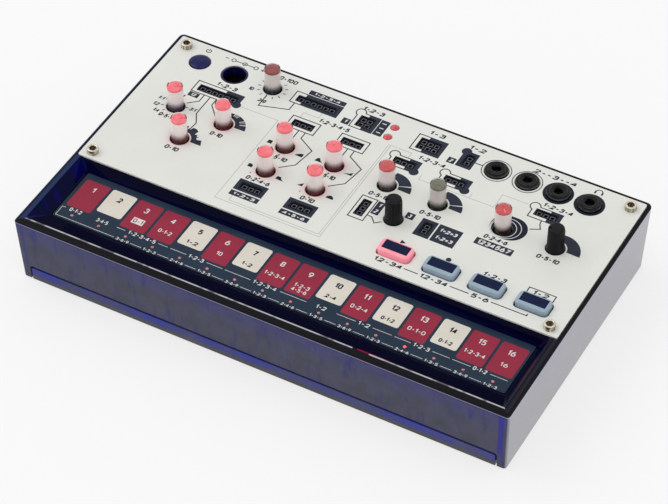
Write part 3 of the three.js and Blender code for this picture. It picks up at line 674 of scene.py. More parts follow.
@dataclass(frozen=True)
class Finish:
    """A finish with a drifting colour and a fine grain."""

    name: str
    colour: Colour
    second: Colour
    roughness: float = 0.4
    drift: float = 140.0
    grain: float = 4500.0
    relief: float = 0.06
    metallic: float = 0.0
    coat: float = 0.0
    ior: float = 1.5
    coat_ior: float = 1.5
    specular: float = 0.5
    glow: float = 0.0
    deep: float = 0.05

    def material(self) -> bpy.types.Material:
        """Finds the material, or builds it.

        Returns:
            The material.
        """
        title = f"{self.name}_finish"
        known = bpy.data.materials.get(title)
        if known:
            return known
        made = bpy.data.materials.new(title)
        made.use_nodes = True
        made.node_tree.nodes.clear()
        graph = Graph(made.node_tree)
        inputs = {"Roughness": self.roughness, "Metallic": self.metallic, "IOR": self.ior}
        inputs |= {"Coat Weight": self.coat, "Coat Roughness": 0.03, "Coat IOR": self.coat_ior}
        shader = graph.node("ShaderNodeBsdfPrincipled", inputs | {"Specular IOR Level": self.specular})
        graph.node("ShaderNodeOutputMaterial", {"Surface": shader.outputs[0]})
        made.diffuse_color = self.colour
        self.dress(graph, shader)
        return made

    def dress(self, graph: Graph, shader: bpy.types.Node) -> None:
        """Links the colour and the grain.

        Args:
            graph: The material's tree.
            shader: Its Principled shader.
        """
        self.tint(graph, shader, self.coloured(graph))
        grain = graph.effect(Effect.GRAIN, {"Scale": self.grain, "Coarse": self.grain / COARSER})
        rough = graph.math("MULTIPLY_ADD", grain["Mask"], self.roughness * 0.5, self.roughness)
        self.worn(graph, shader, rough, grain["Height"])

    def coloured(self, graph: Graph) -> Socket:
        """Makes the colour of the surface."""
        return self.drifting(graph)

    def drifting(self, graph: Graph) -> Socket:
        """Makes the drifting colour."""
        return graph.drift(self.drift, self.colour, self.second)

    def tint(self, graph: Graph, shader: bpy.types.Node, colour: Socket) -> None:
        """Links a colour, and lets it glow where the finish is lit.

        Args:
            graph: The material's tree.
            shader: Its Principled shader.
            colour: The colour.
        """
        graph.tree.links.new(colour, shader.inputs["Base Color"])
        if self.glow > 0:
            graph.tree.links.new(colour, shader.inputs["Emission Color"])
            shader.inputs["Emission Strength"].default_value = self.glow

    def worn(self, graph: Graph, shader: bpy.types.Node, rough: Socket, height: Socket) -> None:
        """Links the roughness and the relief."""
        graph.tree.links.new(rough, shader.inputs["Roughness"])
        graph.tree.links.new(graph.bump(height, self.relief, self.deep), shader.inputs["Normal"])


@dataclass(frozen=True)
class Ink(Finish):
    """Matt printing ink."""

    roughness: float = 0.5
    drift: float = 300.0
    specular: float = 0.08


@dataclass(frozen=True)
class KeyPrint(Finish):
    """Satin print of the larger keys."""

    roughness: float = 0.34
    drift: float = 120.0
    grain: float = 3000.0
    relief: float = 0.03
    specular: float = 0.25


@dataclass(frozen=True)
class ButtonCap(Finish):
    """Glossy see-through moulding of a button."""

    roughness: float = 0.22
    drift: float = 260.0
    relief: float = 0.03
    coat: float = 0.3


@dataclass(frozen=True)
class TintedShell(Finish):
    """The dark blue see-through plastic of the upper case, near black where it is thick, its colour carrying
    painted light and shade.
    """

    # Painted light: the glint streaks of the walls and the blue glow towards their top and beside the
    # corners.
    glint: Colour = srgb(40, 42, 120)
    veil: Colour = srgb(52, 52, 150)
    # The rim's near-black tint, which also paints a shade line, and the colours of two painted highlights.
    rim: Colour = srgb(25, 25, 29)
    bright: Colour = srgb(205, 205, 212)
    edge_light: Colour = srgb(150, 146, 178)
    # The tray's dark colour, then a painted blue glow and painted light and shade for its slopes.
    tray: Colour = srgb(4, 4, 34)
    slope: Colour = srgb(4, 5, 140)
    # Painted highlights along the left and right rims.
    left_ledge: Colour = srgb(43, 57, 94)
    right_ledge: Colour = srgb(41, 38, 52)
    # Painted light on the right slope, a painted blue glow on the left one and painted shade on the front
    # one.
    upper_slope: Colour = srgb(47, 47, 64)
    left_slope: Colour = srgb(2, 8, 56)
    front_slope: Colour = srgb(13, 14, 34)
    # Painted reflection of the lit red step light on the tray's brink.
    blush: Colour = srgb(150, 16, 70)
    half_width: float = 96.5
    half_depth: float = 57.5
    shoulder: float = 27.9
    wall_height: float = 27.4
    side_lean: float = 0.9
    end_lean: float = 1.8
    left_line: Point = (3.3, 2.4)
    right_line: Point = (3.5, 1.5)
    front_face: float = -56.0
    right_face: float = 95.8
    tray_half: float = 93.45
    tray_ends: Point = (-54.35, -17.85)
    soft: float = 0.12

    def coloured(self, graph: Graph) -> Socket:
        """Paints blue glows on the corners, the rim and the slopes of the tray, highlight lines along its
        edges, and shade in the tray.

        Args:
            graph: The material's tree.

        Returns:
            The colour.
        """
        to_side = graph.math("SUBTRACT", self.half_width, graph.math("ABSOLUTE", graph.axes[0]))
        beside = graph.math("LESS_THAN", to_side, graph.math("ADD", graph.axes[1], self.half_depth))
        layers = [*self._walls(graph), *self._rims(graph), *self._ledges(graph, beside)]
        layers += [*self._slopes(graph, beside), *self._brink(graph, beside)]
        return graph.layered(self.drifting(graph), *layers)

    def dress(self, graph: Graph, shader: bpy.types.Node) -> None:
        """Adds a clear coat to the outer walls.

        Args:
            graph: The material's tree.
            shader: Its Principled shader.
        """
        super().dress(graph, shader)
        outer = graph.ramp(self._side(graph)[0], self.half_width - 0.7, self.half_width - 0.2)
        wall = graph.times(outer, graph.ramp(graph.axes[2], self.shoulder, self.shoulder - 0.3))
        graph.tree.links.new(wall, shader.inputs["Coat Weight"])

    def _side(self, graph: Graph) -> tuple[Socket, Socket]:
        """Undoes the lean of the side walls.

        Args:
            graph: The material's tree.

        Returns:
            How far out a place lies, and the share of the lean at its height.
        """
        x, _, z = graph.axes
        lean = graph.times(graph.math("SUBTRACT", self.shoulder, z), 1 / self.wall_height)
        return graph.math("ADD", graph.math("ABSOLUTE", x), graph.times(lean, self.side_lean)), lean

    def _walls(self, graph: Graph) -> Layers:
        """Paints light on the walls: glint streaks, a blue glow towards their top, and lines of blue glow
        beside the upright corners.

        Args:
            graph: The material's tree.

        Returns:
            The layers.
        """
        x, y, z = graph.axes
        side, lean = self._side(graph)
        end = graph.math("ADD", graph.math("ABSOLUTE", y), graph.times(lean, self.end_lean))
        way = graph.ramp(x, -1.0, 1.0)
        left, right = (
            graph.band(side, self.half_width - far, self.half_width - near, 0.6)
            for far, near in (self.left_line, self.right_line)
        )
        corner = graph.math("ADD", graph.times(left, graph.rest(way)), graph.times(right, way))
        on_end = graph.ramp(end, self.half_depth - 0.9, self.half_depth - 0.4)
        strength = graph.times(graph.ramp(z, 1.0, 12.0), graph.math("ADD", graph.times(way, 0.3), 0.5))
        return [
            (graph.times(graph.streaks(300.0, (1.0, 1.0, 0.22), 0.5, 0.78), 0.5), self.glint),
            (graph.times(graph.ramp(z, 17.0, 27.5), 0.26), self.veil),
            (graph.times(corner, on_end, strength), self.veil),
        ]

    def _rims(self, graph: Graph) -> Layers:
        """Darkens the rim to its near-black tint, and paints highlight lines along its front and right edges,
        with a line of painted shade under the front one.

        Args:
            graph: The material's tree.

        Returns:
            The layers.
        """
        x, y, z = graph.axes
        front = graph.math("LESS_THAN", y, self.front_face)
        right = graph.math("GREATER_THAN", x, self.right_face)
        layers = [(graph.ramp(z, 27.75, 28.0), self.rim)]
        # A painted shade line under the front edge, and painted highlight lines along the front and right
        # edges.
        for low, high, where, share, tint in (
            (27.2, 27.55, front, 0.5, self.rim),
            (27.65, 28.05, front, 0.7, self.edge_light),
            (27.45, 27.85, right, 0.5, self.bright),
        ):
            layers.append((graph.times(graph.band(z, low, high, self.soft), where, share), tint))
        return layers

    def _ledges(self, graph: Graph, beside: Socket) -> Layers:
        """Paints paler lines of light, as painted highlights, along the left and right rims.

        Args:
            graph: The material's tree.
            beside: 1 on the side rims, up to their mitres.

        Returns:
            The layers.
        """
        x, _, z = graph.axes
        on_rim = graph.times(graph.ramp(z, 27.8, 28.2), beside)
        layers = []
        for way, low, high, share, tint in (
            (-1, 93.5, 95.2, 0.9, self.left_ledge),
            (-1, 95.6, 96.2, 0.5, self.left_ledge),
            (1, 94.2, 95.3, 0.9, self.right_ledge),
        ):
            band = graph.band(graph.times(x, float(way)), low, high, 0.2)
            layers.append((graph.times(band, on_rim, share), tint))
        return layers

    def _slopes(self, graph: Graph, beside: Socket) -> Layers:
        """Darkens the tray, and paints shade on its front slope, a blue glow on its left slope and low along
        its back, and light on its right slope.

        Args:
            graph: The material's tree.
            beside: 1 on the side slopes, up to their mitres.

        Returns:
            The layers.
        """
        (x, y, z), (front, back) = graph.axes, self.tray_ends
        between = graph.math("LESS_THAN", graph.math("ABSOLUTE", x), self.tray_half)
        ends = graph.times(graph.math("LESS_THAN", y, back), graph.math("GREATER_THAN", y, front))
        inside = graph.times(between, ends)
        left = graph.times(graph.ramp(graph.times(x, -1.0), 89.6, 90.4), inside, beside)
        glow = graph.streaks(190.0, (0.6, 1.6, 0.4), 0.45, 0.8)
        behind = graph.times(graph.ramp(y, -20.6, -20.2), inside)
        return [
            (inside, self.tray),
            (graph.times(graph.ramp(y, -45.6, -46.0), inside, 0.85), self.front_slope),
            (graph.times(left, 0.7), self.left_slope),
            (graph.times(left, glow, 0.55), self.slope),
            (graph.times(graph.ramp(x, 92.1, 92.6), inside, 0.8), self.upper_slope),
            (graph.times(graph.band(z, 24.2, 25.6, 0.5), behind, 0.05), self.slope),
        ]

    def _brink(self, graph: Graph, beside: Socket) -> Layers:
        """Paints a broken highlight line along the front brink of the tray, and a painted reflection of the
        red step light in it.

        Args:
            graph: The material's tree.
            beside: 1 on the side rims, where there is no line.

        Returns:
            The layers.
        """
        x, y, z = graph.axes
        line = graph.times(graph.band(y, -54.75, -54.2, self.soft), graph.ramp(z, 28.2, 28.4), 0.75)
        bare = graph.rest(graph.band(x, 36.6, 43.0, 0.5))
        broken = graph.math("MAXIMUM", graph.streaks(90.0, (1.0, 0.01, 0.01), 0.38, 0.5), 0.25)
        # Painted reflection of the red step light.
        red = graph.times(graph.band(x, 38.4, 50.0, 1.0), graph.band(y, -54.5, -53.7, 0.2), 0.85)
        return [(red, self.blush), (graph.times(line, graph.rest(beside), bare, broken), self.bright)]


@dataclass(frozen=True)
class TintedStrip(Finish):
    """The same plastic in the strip of the bottom case, with a painted blue glow above and its own dark tint
    along its foot.
    """

    # Colour of the painted glow along the strip's upper edge.
    lit: Colour = srgb(48, 56, 150)
    edge: float = 2.6
    face: Point = (54.6, 55.2)

    def coloured(self, graph: Graph) -> Socket:
        """Paints a streaky blue glow on the upper part of the front and back faces.

        Args:
            graph: The material's tree.

        Returns:
            The colour.
        """
        _, y, z = graph.axes
        outer = graph.ramp(graph.math("ABSOLUTE", y), *self.face)
        glow = graph.streaks(60.0, (1.0, 1.0, 0.2), 0.1, 0.75)
        share = graph.times(outer, graph.ramp(z, self.edge - 0.3, self.edge + 0.4), glow)
        return graph.mix(share, self.drifting(graph), self.lit)


@dataclass(frozen=True)
class ClearPlastic(Finish):
    """Clear plastic that light goes through."""

    def dress(self, graph: Graph, shader: bpy.types.Node) -> None:
        """Makes it clear, with a faint drift of its colour."""
        shader.inputs["Transmission Weight"].default_value = 1.0
        super().dress(graph, shader)


@dataclass(frozen=True)
class LitCore(Finish):
    """The milky heart of a knob, which a light under the panel shines into."""

    roughness: float = 0.5
    drift: float = 500.0
    # The foot colour is painted shade of the hole that the knob stands in.
    foot: Colour = srgb(72, 8, 20)
    wall: Colour = srgb(248, 241, 239)
    night: Colour = srgb(6, 2, 5)
    foot_top: float = 29.6
    wall_foot: float = 32.8
    crown: float = 37.7

    def coloured(self, graph: Graph) -> Socket:
        """Goes from a foot darkened with painted shade of its hole over a pale wall to the lit crown.

        Args:
            graph: The material's tree.

        Returns:
            The colour.
        """
        z = graph.axes[2]
        pale = graph.drift(420.0, self.wall, mixed(self.wall, self.colour, 0.05))
        wall = graph.mix(graph.ramp(z, self.foot_top, self.wall_foot), self.foot, pale)
        return graph.mix(graph.ramp(z, self.crown - 0.2, self.crown), wall, self.drifting(graph))

    def tint(self, graph: Graph, shader: bpy.types.Node, colour: Socket) -> None:
        """Links the colour, and a glow that rises from the foot.

        Args:
            graph: The material's tree.
            shader: Its Principled shader.
            colour: The colour.
        """
        z = graph.axes[2]
        rise = graph.ramp(z, self.foot_top + 0.6, self.wall_foot + 1.5)
        glow = graph.mix(rise, mixed(self.foot, self.colour, 0.05), mixed(self.colour, self.wall, 0.9))
        lit = graph.mix(graph.ramp(z, self.crown - 0.2, self.crown), glow, self.drifting(graph))
        graph.tree.links.new(colour, shader.inputs["Base Color"])
        graph.tree.links.new(lit, shader.inputs["Emission Color"])
        shader.inputs["Emission Strength"].default_value = self.glow

    def base(self) -> Finish:
        """Gives the finish of the knob's foot, darkened with painted shade of its hole."""
        colours = (mixed(self.foot, self.night, share) for share in (0.35, 0.7))
        return Finish(f"{self.name}_foot", *colours, roughness=0.18, drift=900, specular=0.12)


@dataclass(frozen=True)
class Circuit(Finish):
    """Solder mask over copper tracks."""

    track: Colour = srgb(52, 104, 74)

    def coloured(self, graph: Graph) -> Socket:
        """Draws tracks in cells of a bent grid.

        Args:
            graph: The material's tree.

        Returns:
            The colour.
        """
        inputs = {"Vector": graph.place, "Scale": 330.0, "Mortar Size": 0.05, "Mortar Smooth": 0.2}
        bricks = graph.node("ShaderNodeTexBrick", inputs | {"Bias": 0.0}).outputs["Fac"]
        return graph.mix(graph.times(bricks, 0.8), self.drifting(graph), self.track)


@dataclass(frozen=True)
class Brushed(Finish):
    """Plated metal with fine turning marks."""

    deep: float = 0.02

    def dress(self, graph: Graph, shader: bpy.types.Node) -> None:
        """Stretches the grain along one way.

        Args:
            graph: The material's tree.
            shader: Its Principled shader.
        """
        mask = graph.streaks(1600.0, (0.15, 1.0, 1.0), 0.2, 0.8)
        self.tint(graph, shader, self.shaded(graph, graph.mix(mask, self.colour, self.second)))
        self.worn(graph, shader, graph.math("MULTIPLY_ADD", mask, 0.12, self.roughness), mask)

    def shaded(self, graph: Graph, plated: Socket) -> Socket:
        """Leaves the plating as it is."""
        return plated


@dataclass(frozen=True)
class ScrewHead(Brushed):
    """Plated screw heads, with painted shade down in their sockets and painted dark reflections round their
    sides.
    """

    across: float = 90.5
    middle: float = 18.35
    along: float = 32.85
    # Colour of the painted shade in the sockets and of the dark reflections.
    pit: Colour = srgb(20, 16, 12)

    def shaded(self, graph: Graph, plated: Socket) -> Socket:
        """Paints shade into the socket, and dark reflections round the foot of every head.

        Args:
            graph: The material's tree.
            plated: The colour of the plating.

        Returns:
            The colour.
        """
        x, y, z = graph.axes
        sides = []
        for value, middle, reach in ((x, 0.0, self.across), (y, self.middle, self.along)):
            away = graph.math("ABSOLUTE", graph.math("SUBTRACT", value, middle))
            sides.append(graph.math("SUBTRACT", away, reach))
        radius = graph.length(*sides)
        deep = graph.rest(graph.ramp(z, 29.5, 30.8))
        inside = graph.rest(graph.ramp(radius, 1.15, 1.5))
        dark = graph.times(inside, graph.math("ADD", graph.times(deep, 0.75), 0.2))
        # Painted dark reflections on the sides of the head.
        streaks = graph.streaks(1100.0, (1.0, 1.0, 0.05), 0.4, 0.62)
        side = graph.times(graph.ramp(radius, 1.95, 2.1), graph.rest(graph.ramp(z, 30.5, 30.9)))
        shade = graph.math("MAXIMUM", dark, graph.times(side, streaks, 0.9))
        return graph.mix(shade, plated, mixed(self.second, self.pit, 0.85))


@dataclass(frozen=True)
class Rimmed(Finish):
    """Polished moulding with painted highlights on its edges."""

    # Colour of the painted highlights.
    light: Colour = srgb(104, 104, 110)
    rings: Rows = ((29.5, 29.72), (30.05, 30.2))

    def coloured(self, graph: Graph) -> Socket:
        """Paints highlights on the rounded edges, here more and there less.

        Args:
            graph: The material's tree.

        Returns:
            The colour.
        """
        z = graph.axes[2]
        highlight_patches = graph.times(graph.streaks(300.0, (1.0, 1.0, 0.1), 0.35, 0.6), 0.75)
        bands = [graph.times(graph.band(z, low, high, 0.08), highlight_patches) for low, high in self.rings]
        return graph.layered(self.drifting(graph), *((band, self.light) for band in bands))


@dataclass(frozen=True)
class LitLacquer(Finish):
    """Pale lacquer with a painted red glow round the holes of the lit knobs."""

    # Colour of the painted glow of the knob lights on the panel.
    lit: Colour = srgb(255, 132, 136)
    reach: float = 9.0
    hole: float = 3.5
    fall: float = 3.2
    share: float = 0.34
    dark: tuple[str, ...] = ("mix", "volume", "cutoff_2", "clock", "amount", "cutoff_1", "ratio")

    def coloured(self, graph: Graph) -> Socket:
        """Lets the painted red glow fade with the distance from each lit knob.

        Args:
            graph: The material's tree.

        Returns:
            The colour.
        """
        layers = []
        axes = graph.axes[:2]
        for node in nodes_named("_knob"):
            if node.removesuffix("_knob") not in self.dark:
                away = [graph.math("SUBTRACT", *pair) for pair in zip(axes, Rect.of_node(node).middle)]
                near = graph.rest(graph.ramp(graph.length(*away), self.hole - 1, self.reach))
                layers.append((graph.times(graph.math("POWER", near, self.fall), self.share), self.lit))
        return graph.layered(self.drifting(graph), *layers)


# Base colours lifted above the plastic's near-black: partly its tint, partly painted reflection of the floor.
SHELL = TintedShell(
    "tinted_shell", srgb(77, 77, 88), srgb(84, 84, 106), roughness=0.05, relief=0.01, coat=1.0, coat_ior=2.5,
    specular=0.04,
)
STRIP = TintedStrip(
    "tinted_strip", srgb(70, 70, 76), srgb(80, 80, 88), roughness=0.06, relief=0.01, specular=0.2
)
WELL = Finish(
    "inlet_well", srgb(9, 10, 50), srgb(16, 17, 72), roughness=0.12, drift=300, relief=0.02, specular=0.3
)
LACQUER = LitLacquer(
    "panel_lacquer", srgb(226, 227, 221), srgb(222, 223, 217), roughness=0.42, drift=60, grain=5200,
    relief=0.05, specular=0.35,
)
INK = Ink("dark_ink", srgb(26, 30, 44), srgb(33, 38, 53))
TAB_INK = Ink("tab_ink", srgb(44, 48, 62), srgb(50, 55, 69))
# Painted shade of the gaps round the header slots, printed as a black band.
SLOT_SHADE = Ink("slot_ink", srgb(7, 7, 10), srgb(12, 12, 15), specular=0.05)
PALE_INK = Ink("pale_ink", srgb(184, 185, 180), srgb(176, 177, 172), specular=0.2)
WHITE_INK = Ink("white_ink", srgb(222, 222, 218), srgb(210, 210, 206), specular=0.2)
OVERLAY = Finish(
    "touch_overlay_film", srgb(22, 40, 60), srgb(28, 47, 67), roughness=0.3, drift=80, grain=3000,
    relief=0.03, specular=0.18,
)
RED_KEY = KeyPrint("red_key_print", srgb(150, 32, 60), srgb(140, 28, 56))
PALE_KEY = KeyPrint("pale_key_print", srgb(222, 216, 205), srgb(215, 208, 196))
BLACK = Finish(
    "black_moulding", srgb(14, 14, 17), srgb(21, 21, 25), roughness=0.36, drift=200, grain=6500, relief=0.12,
    specular=0.14,
)
GLOSS_BLACK = Rimmed(
    "polished_black", srgb(12, 12, 14), srgb(20, 20, 22), roughness=0.16, drift=200, relief=0.03,
    specular=0.17,
)
HEADER = Finish(
    "header_moulding", srgb(13, 14, 16), srgb(20, 21, 24), roughness=0.34, drift=400, grain=6500, relief=0.1,
    specular=0.12,
)
# A painted highlight of the header cells' edges, printed as thin pale rings.
CELL_EDGE_HIGHLIGHT = Finish("header_line", srgb(104, 106, 115), srgb(88, 90, 99), drift=900, specular=0.2)
CONTACT = Finish("tinned_contact", srgb(70, 69, 66), srgb(52, 51, 49), drift=900, metallic=0.6)
CLEAR = ClearPlastic(
    "clear_plastic", srgb(252, 250, 249), srgb(248, 245, 244), roughness=0.04, relief=0.02, ior=1.42
)
CIRCUIT = Circuit("solder_mask", srgb(18, 62, 42), srgb(22, 70, 48), roughness=0.35, drift=300)
NICKEL = Brushed(
    "nickel_plate", srgb(196, 186, 168), srgb(160, 150, 132), roughness=0.22, metallic=1.0, relief=0.15
)
SCREW = ScrewHead(
    "screw_head", srgb(226, 218, 202), srgb(188, 178, 160), roughness=0.2, metallic=1.0, relief=0.15
)
STEEL = Brushed(
    "spring_steel", srgb(190, 192, 196), srgb(160, 163, 168), roughness=0.26, metallic=1.0, relief=0.12
)
RUBBER = Finish(
    "foot_rubber", srgb(30, 30, 32), srgb(38, 38, 40), roughness=0.85, drift=400, grain=5200, relief=0.3
)
RIBBON = Finish("ribbon_sleeve", srgb(205, 205, 200), srgb(192, 192, 188), roughness=0.55, drift=300)
SPEAKER = Finish("speaker_metal", srgb(52, 53, 57), srgb(64, 65, 70), roughness=0.45, drift=220, metallic=0.5)
BUTTON = ButtonCap("pale_button", srgb(150, 170, 186), srgb(140, 160, 177))
LIT_BUTTON = ButtonCap("lit_button", srgb(240, 134, 152), srgb(246, 152, 166), glow=0.18)
INLAY = Finish(
    "button_inlay", srgb(10, 22, 54), srgb(15, 28, 62), roughness=0.3, drift=300, relief=0.03, specular=0.1
)
DOME = Finish(
    "button_dome", srgb(27, 27, 72), srgb(36, 37, 92), roughness=0.12, drift=520, relief=0.02, specular=0.14
)
RED_LIGHT = Finish(
    "signal_red", srgb(176, 24, 44), srgb(214, 70, 84), roughness=0.14, drift=700, relief=0.02, coat=0.4,
    glow=0.15,
)
BRIGHT_DOT = Finish(
    "lit_step_light", srgb(255, 58, 58), srgb(255, 96, 92), roughness=0.3, drift=900, glow=1.6
)
DIM_DOT = Finish("step_light", srgb(186, 74, 88), srgb(214, 150, 156), roughness=0.3, drift=1500)
# Each core's foot colour is painted shade of its hole.
LIT_CORE = LitCore("lit_core", srgb(244, 104, 116), srgb(250, 132, 140), glow=0.22)
COOL_CORE = LitCore("cool_core", srgb(244, 104, 116), srgb(250, 132, 140), foot=srgb(34, 24, 58), glow=0.2)
WARM_CORE = LitCore("half_lit_core", srgb(206, 74, 80), srgb(222, 98, 100), foot=srgb(30, 14, 18), glow=0.12)
DIM_CORE = LitCore("faint_core", srgb(150, 66, 66), srgb(170, 86, 82), foot=srgb(24, 16, 40), glow=0.06)
DARK_CORE = LitCore("unlit_core", srgb(120, 120, 104), srgb(136, 136, 120), foot=srgb(26, 26, 26))
BRIGHT_MARK = Finish(
    "bright_pointer", srgb(250, 112, 118), srgb(255, 140, 140), roughness=0.3, drift=600, glow=0.2
)


class Layout(Enum):
    """How a Geometry Nodes tree lays out what repeats."""

    ROWS = "repeat_in_rows"
    ROUND = "repeat_round_a_point"

    def tree(self) -> bpy.types.NodeTree:
        """Finds the tree, or builds it.

        Returns:
            The Geometry Nodes tree.
        """
        known = bpy.data.node_groups.get(self.value)
        if known:
            return known
        graph = Graph(bpy.data.node_groups.new(self.value, "GeometryNodeTree"))
        own, lay_out = {
            Layout.ROWS: ({"Columns": "Int", "Across": "Float", "Along": "Float"}, self._in_rows),
            Layout.ROUND: ({"Radius": "Float", "First": "Float", "Step": "Float"}, self._round),
        }[self]
        given = graph.takes(Piece="Object", Finish="Material", Middle="Vector", Count="Int", **own)
        (across, along), turn = lay_out(graph, given, graph.node("GeometryNodeInputIndex").outputs[0])
        offset = {0: graph.vector(across, along), 1: given["Middle"]}
        place = graph.node("ShaderNodeVectorMath", offset, operation="ADD").outputs[0]
        line = graph.node("GeometryNodeMeshLine", {"Count": given["Count"]})
        spots = graph.node("GeometryNodeSetPosition", {"Geometry": line.outputs[0], "Position": place})
        piece = graph.node("GeometryNodeObjectInfo", {"Object": given["Piece"]})
        inputs = {"Points": spots.outputs[0], "Instance": piece.outputs["Geometry"], **turn}
        copies = graph.node("GeometryNodeInstanceOnPoints", inputs)
        real = graph.node("GeometryNodeRealizeInstances", {"Geometry": copies.outputs[0]})
        inputs = {"Geometry": real.outputs[0], "Material": given["Finish"]}
        whole = graph.node("GeometryNodeSetMaterial", inputs)
        graph.gives("Geometry", Mesh=whole.outputs[0])
        return graph.tree

    @staticmethod
    def _in_rows(graph: Graph, given: Sockets, index: Socket) -> tuple[list[Socket], dict]:
        """Works out places in rows about a middle.

        Args:
            graph: The tree.
            given: The tree's inputs.
            index: The number of the point.

        Returns:
            The place of each point along X and Y, and no turn.
        """
        columns = given["Columns"]
        rows = graph.math("DIVIDE", given["Count"], columns)
        column = graph.math("MODULO", index, columns)
        row = graph.math("FLOOR", graph.math("DIVIDE", index, columns))
        places = []
        for number, total, pitch in ((column, columns, given["Across"]), (row, rows, given["Along"])):
            half = graph.times(graph.math("SUBTRACT", total, 1.0), 0.5)
            places.append(graph.times(graph.math("SUBTRACT", number, half), pitch))
        return places, {}

    @staticmethod
    def _round(graph: Graph, given: Sockets, index: Socket) -> tuple[list[Socket], dict]:
        """Works out places on an arc about a middle.

        Args:
            graph: The tree.
            given: The tree's inputs.
            index: The number of the point.

        Returns:
            The place of each point along X and Y, and its turn.
        """
        angle = graph.math("ADD", given["First"], graph.times(index, given["Step"]))
        places = [graph.times(graph.math(way, angle), given["Radius"]) for way in ("COSINE", "SINE")]
        return places, {"Rotation": graph.vector(0.0, 0.0, angle)}

    def repeat(self, name: str, part: Maker, finish: Finish, middle: Place, **sizes: float) -> Object:
        """Repeats a small part and makes one plain mesh of the copies.

        Args:
            name: The name of the piece.
            part: The part, about the origin, in millimetres.
            finish: The finish of every copy.
            middle: The middle of the layout in millimetres.
            sizes: The tree's other inputs by name, in metres and radians.

        Returns:
            The piece.
        """
        source = part.piece(f"{name}_part", finish, smooth=None)
        made = placed(name, bpy.data.meshes.new(name))
        nodes = made.modifiers.new("layout", "NODES")
        nodes.node_group = self.tree()
        values = {"Piece": source, "Finish": finish.material(), **sizes}
        values["Middle"] = [place * MILLIMETRE for place in middle]
        for socket in nodes.node_group.interface.items_tree:
            if socket.in_out == "INPUT":
                nodes[socket.identifier] = values[socket.name]
        bake(made)
        bpy.data.meshes.remove(source.data)
        return even_out(made, 32)


@dataclass(frozen=True)
class Studio:
    """The floor, the soft light and the camera."""

    eye: Place = (350.4, -642.3, 735.7)
    right: Place = (0.87737, 0.47982, 0.0004)
    look: Place = (-0.339858, 0.622765, -0.70474)
    lens: float = 156.4
    sensor: float = 36.0
    nearest: float = 0.05
    floor_half: float = 4.0
    floor_shade: Colour = srgb(250, 250, 250)
    sky: float = 0.78
    even: float = 0.72
    lamp_size: float = 1.6
    lamps: Rows = (
        ("key_lamp", (-1.8, -0.15, 2.25), 17.0),
        ("fill_lamp", (0.8, -0.6, 2.6), 9.0),
    )

    def build(self) -> None:
        """Sets up the camera, the floor, the lamps and the world."""
        bpy.context.scene.view_settings.view_transform = "Standard"
        self._camera()
        self._floor()
        for lamp in self.lamps:
            self._lamp(*lamp)
        self._world()

    def _camera(self) -> None:
        """Makes the camera."""
        data = bpy.data.cameras.new("camera")
        data.sensor_width = self.sensor
        data.lens = self.lens
        data.clip_start = self.nearest
        camera = placed("camera", data)
        back = -Vector(self.look).normalized()
        up = back.cross(Vector(self.right).normalized()).normalized()
        turn = Matrix((up.cross(back), up, back)).transposed().to_4x4()
        camera.matrix_world = Matrix.Translation(Vector(self.eye) * MILLIMETRE) @ turn
        bpy.context.scene.camera = camera

    def _floor(self) -> None:
        """Makes the floor, which looks more even than it is lit."""
        half = self.floor_half
        data = bpy.data.meshes.new("floor")
        data.from_pydata([(x, y, 0) for x, y in Rect(-half, half, -half, half).outline()], [], [range(4)])
        shades = (self.floor_shade, self.floor_shade)
        material = Finish("studio_floor", *shades, roughness=0.9, drift=3, grain=60, relief=0).material()
        graph = Graph(material.node_tree)
        kinds = {node.type: node for node in material.node_tree.nodes}
        white = graph.node("ShaderNodeEmission", {"Color": self.floor_shade, "Strength": 1.0})
        inputs = {0: graph.times(self._seen(graph), self.even), 1: kinds["BSDF_PRINCIPLED"].outputs[0]}
        mixer = graph.node("ShaderNodeMixShader", inputs | {2: white.outputs[0]})
        graph.tree.links.new(mixer.outputs[0], kinds["OUTPUT_MATERIAL"].inputs["Surface"])
        data.materials.append(material)
        placed("floor", data)

    def _lamp(self, name: str, place: Place, power: float) -> None:
        """Hangs a soft lamp that looks at the object.

        Args:
            name: Its name.
            place: Where it hangs, in metres.
            power: Its power in watts.
        """
        data = bpy.data.lights.new(name, "AREA")
        data.shape = "SQUARE"
        data.size = self.lamp_size
        data.energy = power
        turn = Vector(place).to_track_quat("Z", "Y").to_matrix().to_4x4()
        placed(name, data).matrix_world = Matrix.Translation(place) @ turn

    @staticmethod
    def _seen(graph: Graph) -> Socket:
        """Tells rays that look at a surface, straight or by gloss or glass, from rays that light it.

        Args:
            graph: The tree.

        Returns:
            1 for a ray that looks.
        """
        path = graph.node("ShaderNodeLightPath").outputs
        mirrored = graph.math("MAXIMUM", path["Is Glossy Ray"], path["Is Transmission Ray"])
        return graph.math("MAXIMUM", path["Is Camera Ray"], mirrored)

    def _world(self) -> None:
        """Makes a white surround that lights the object more gently than it looks."""
        world = bpy.data.worlds.new("surround")
        world.use_nodes = True
        world.node_tree.nodes.clear()
        graph = Graph(world.node_tree)
        strength = graph.math("ADD", graph.times(self._seen(graph), 1.0 - self.sky), self.sky)
        light = graph.node("ShaderNodeBackground", {"Color": self.floor_shade, "Strength": strength})
        graph.node("ShaderNodeOutputWorld", {"Surface": light.outputs[0]})
        bpy.context.scene.world = world


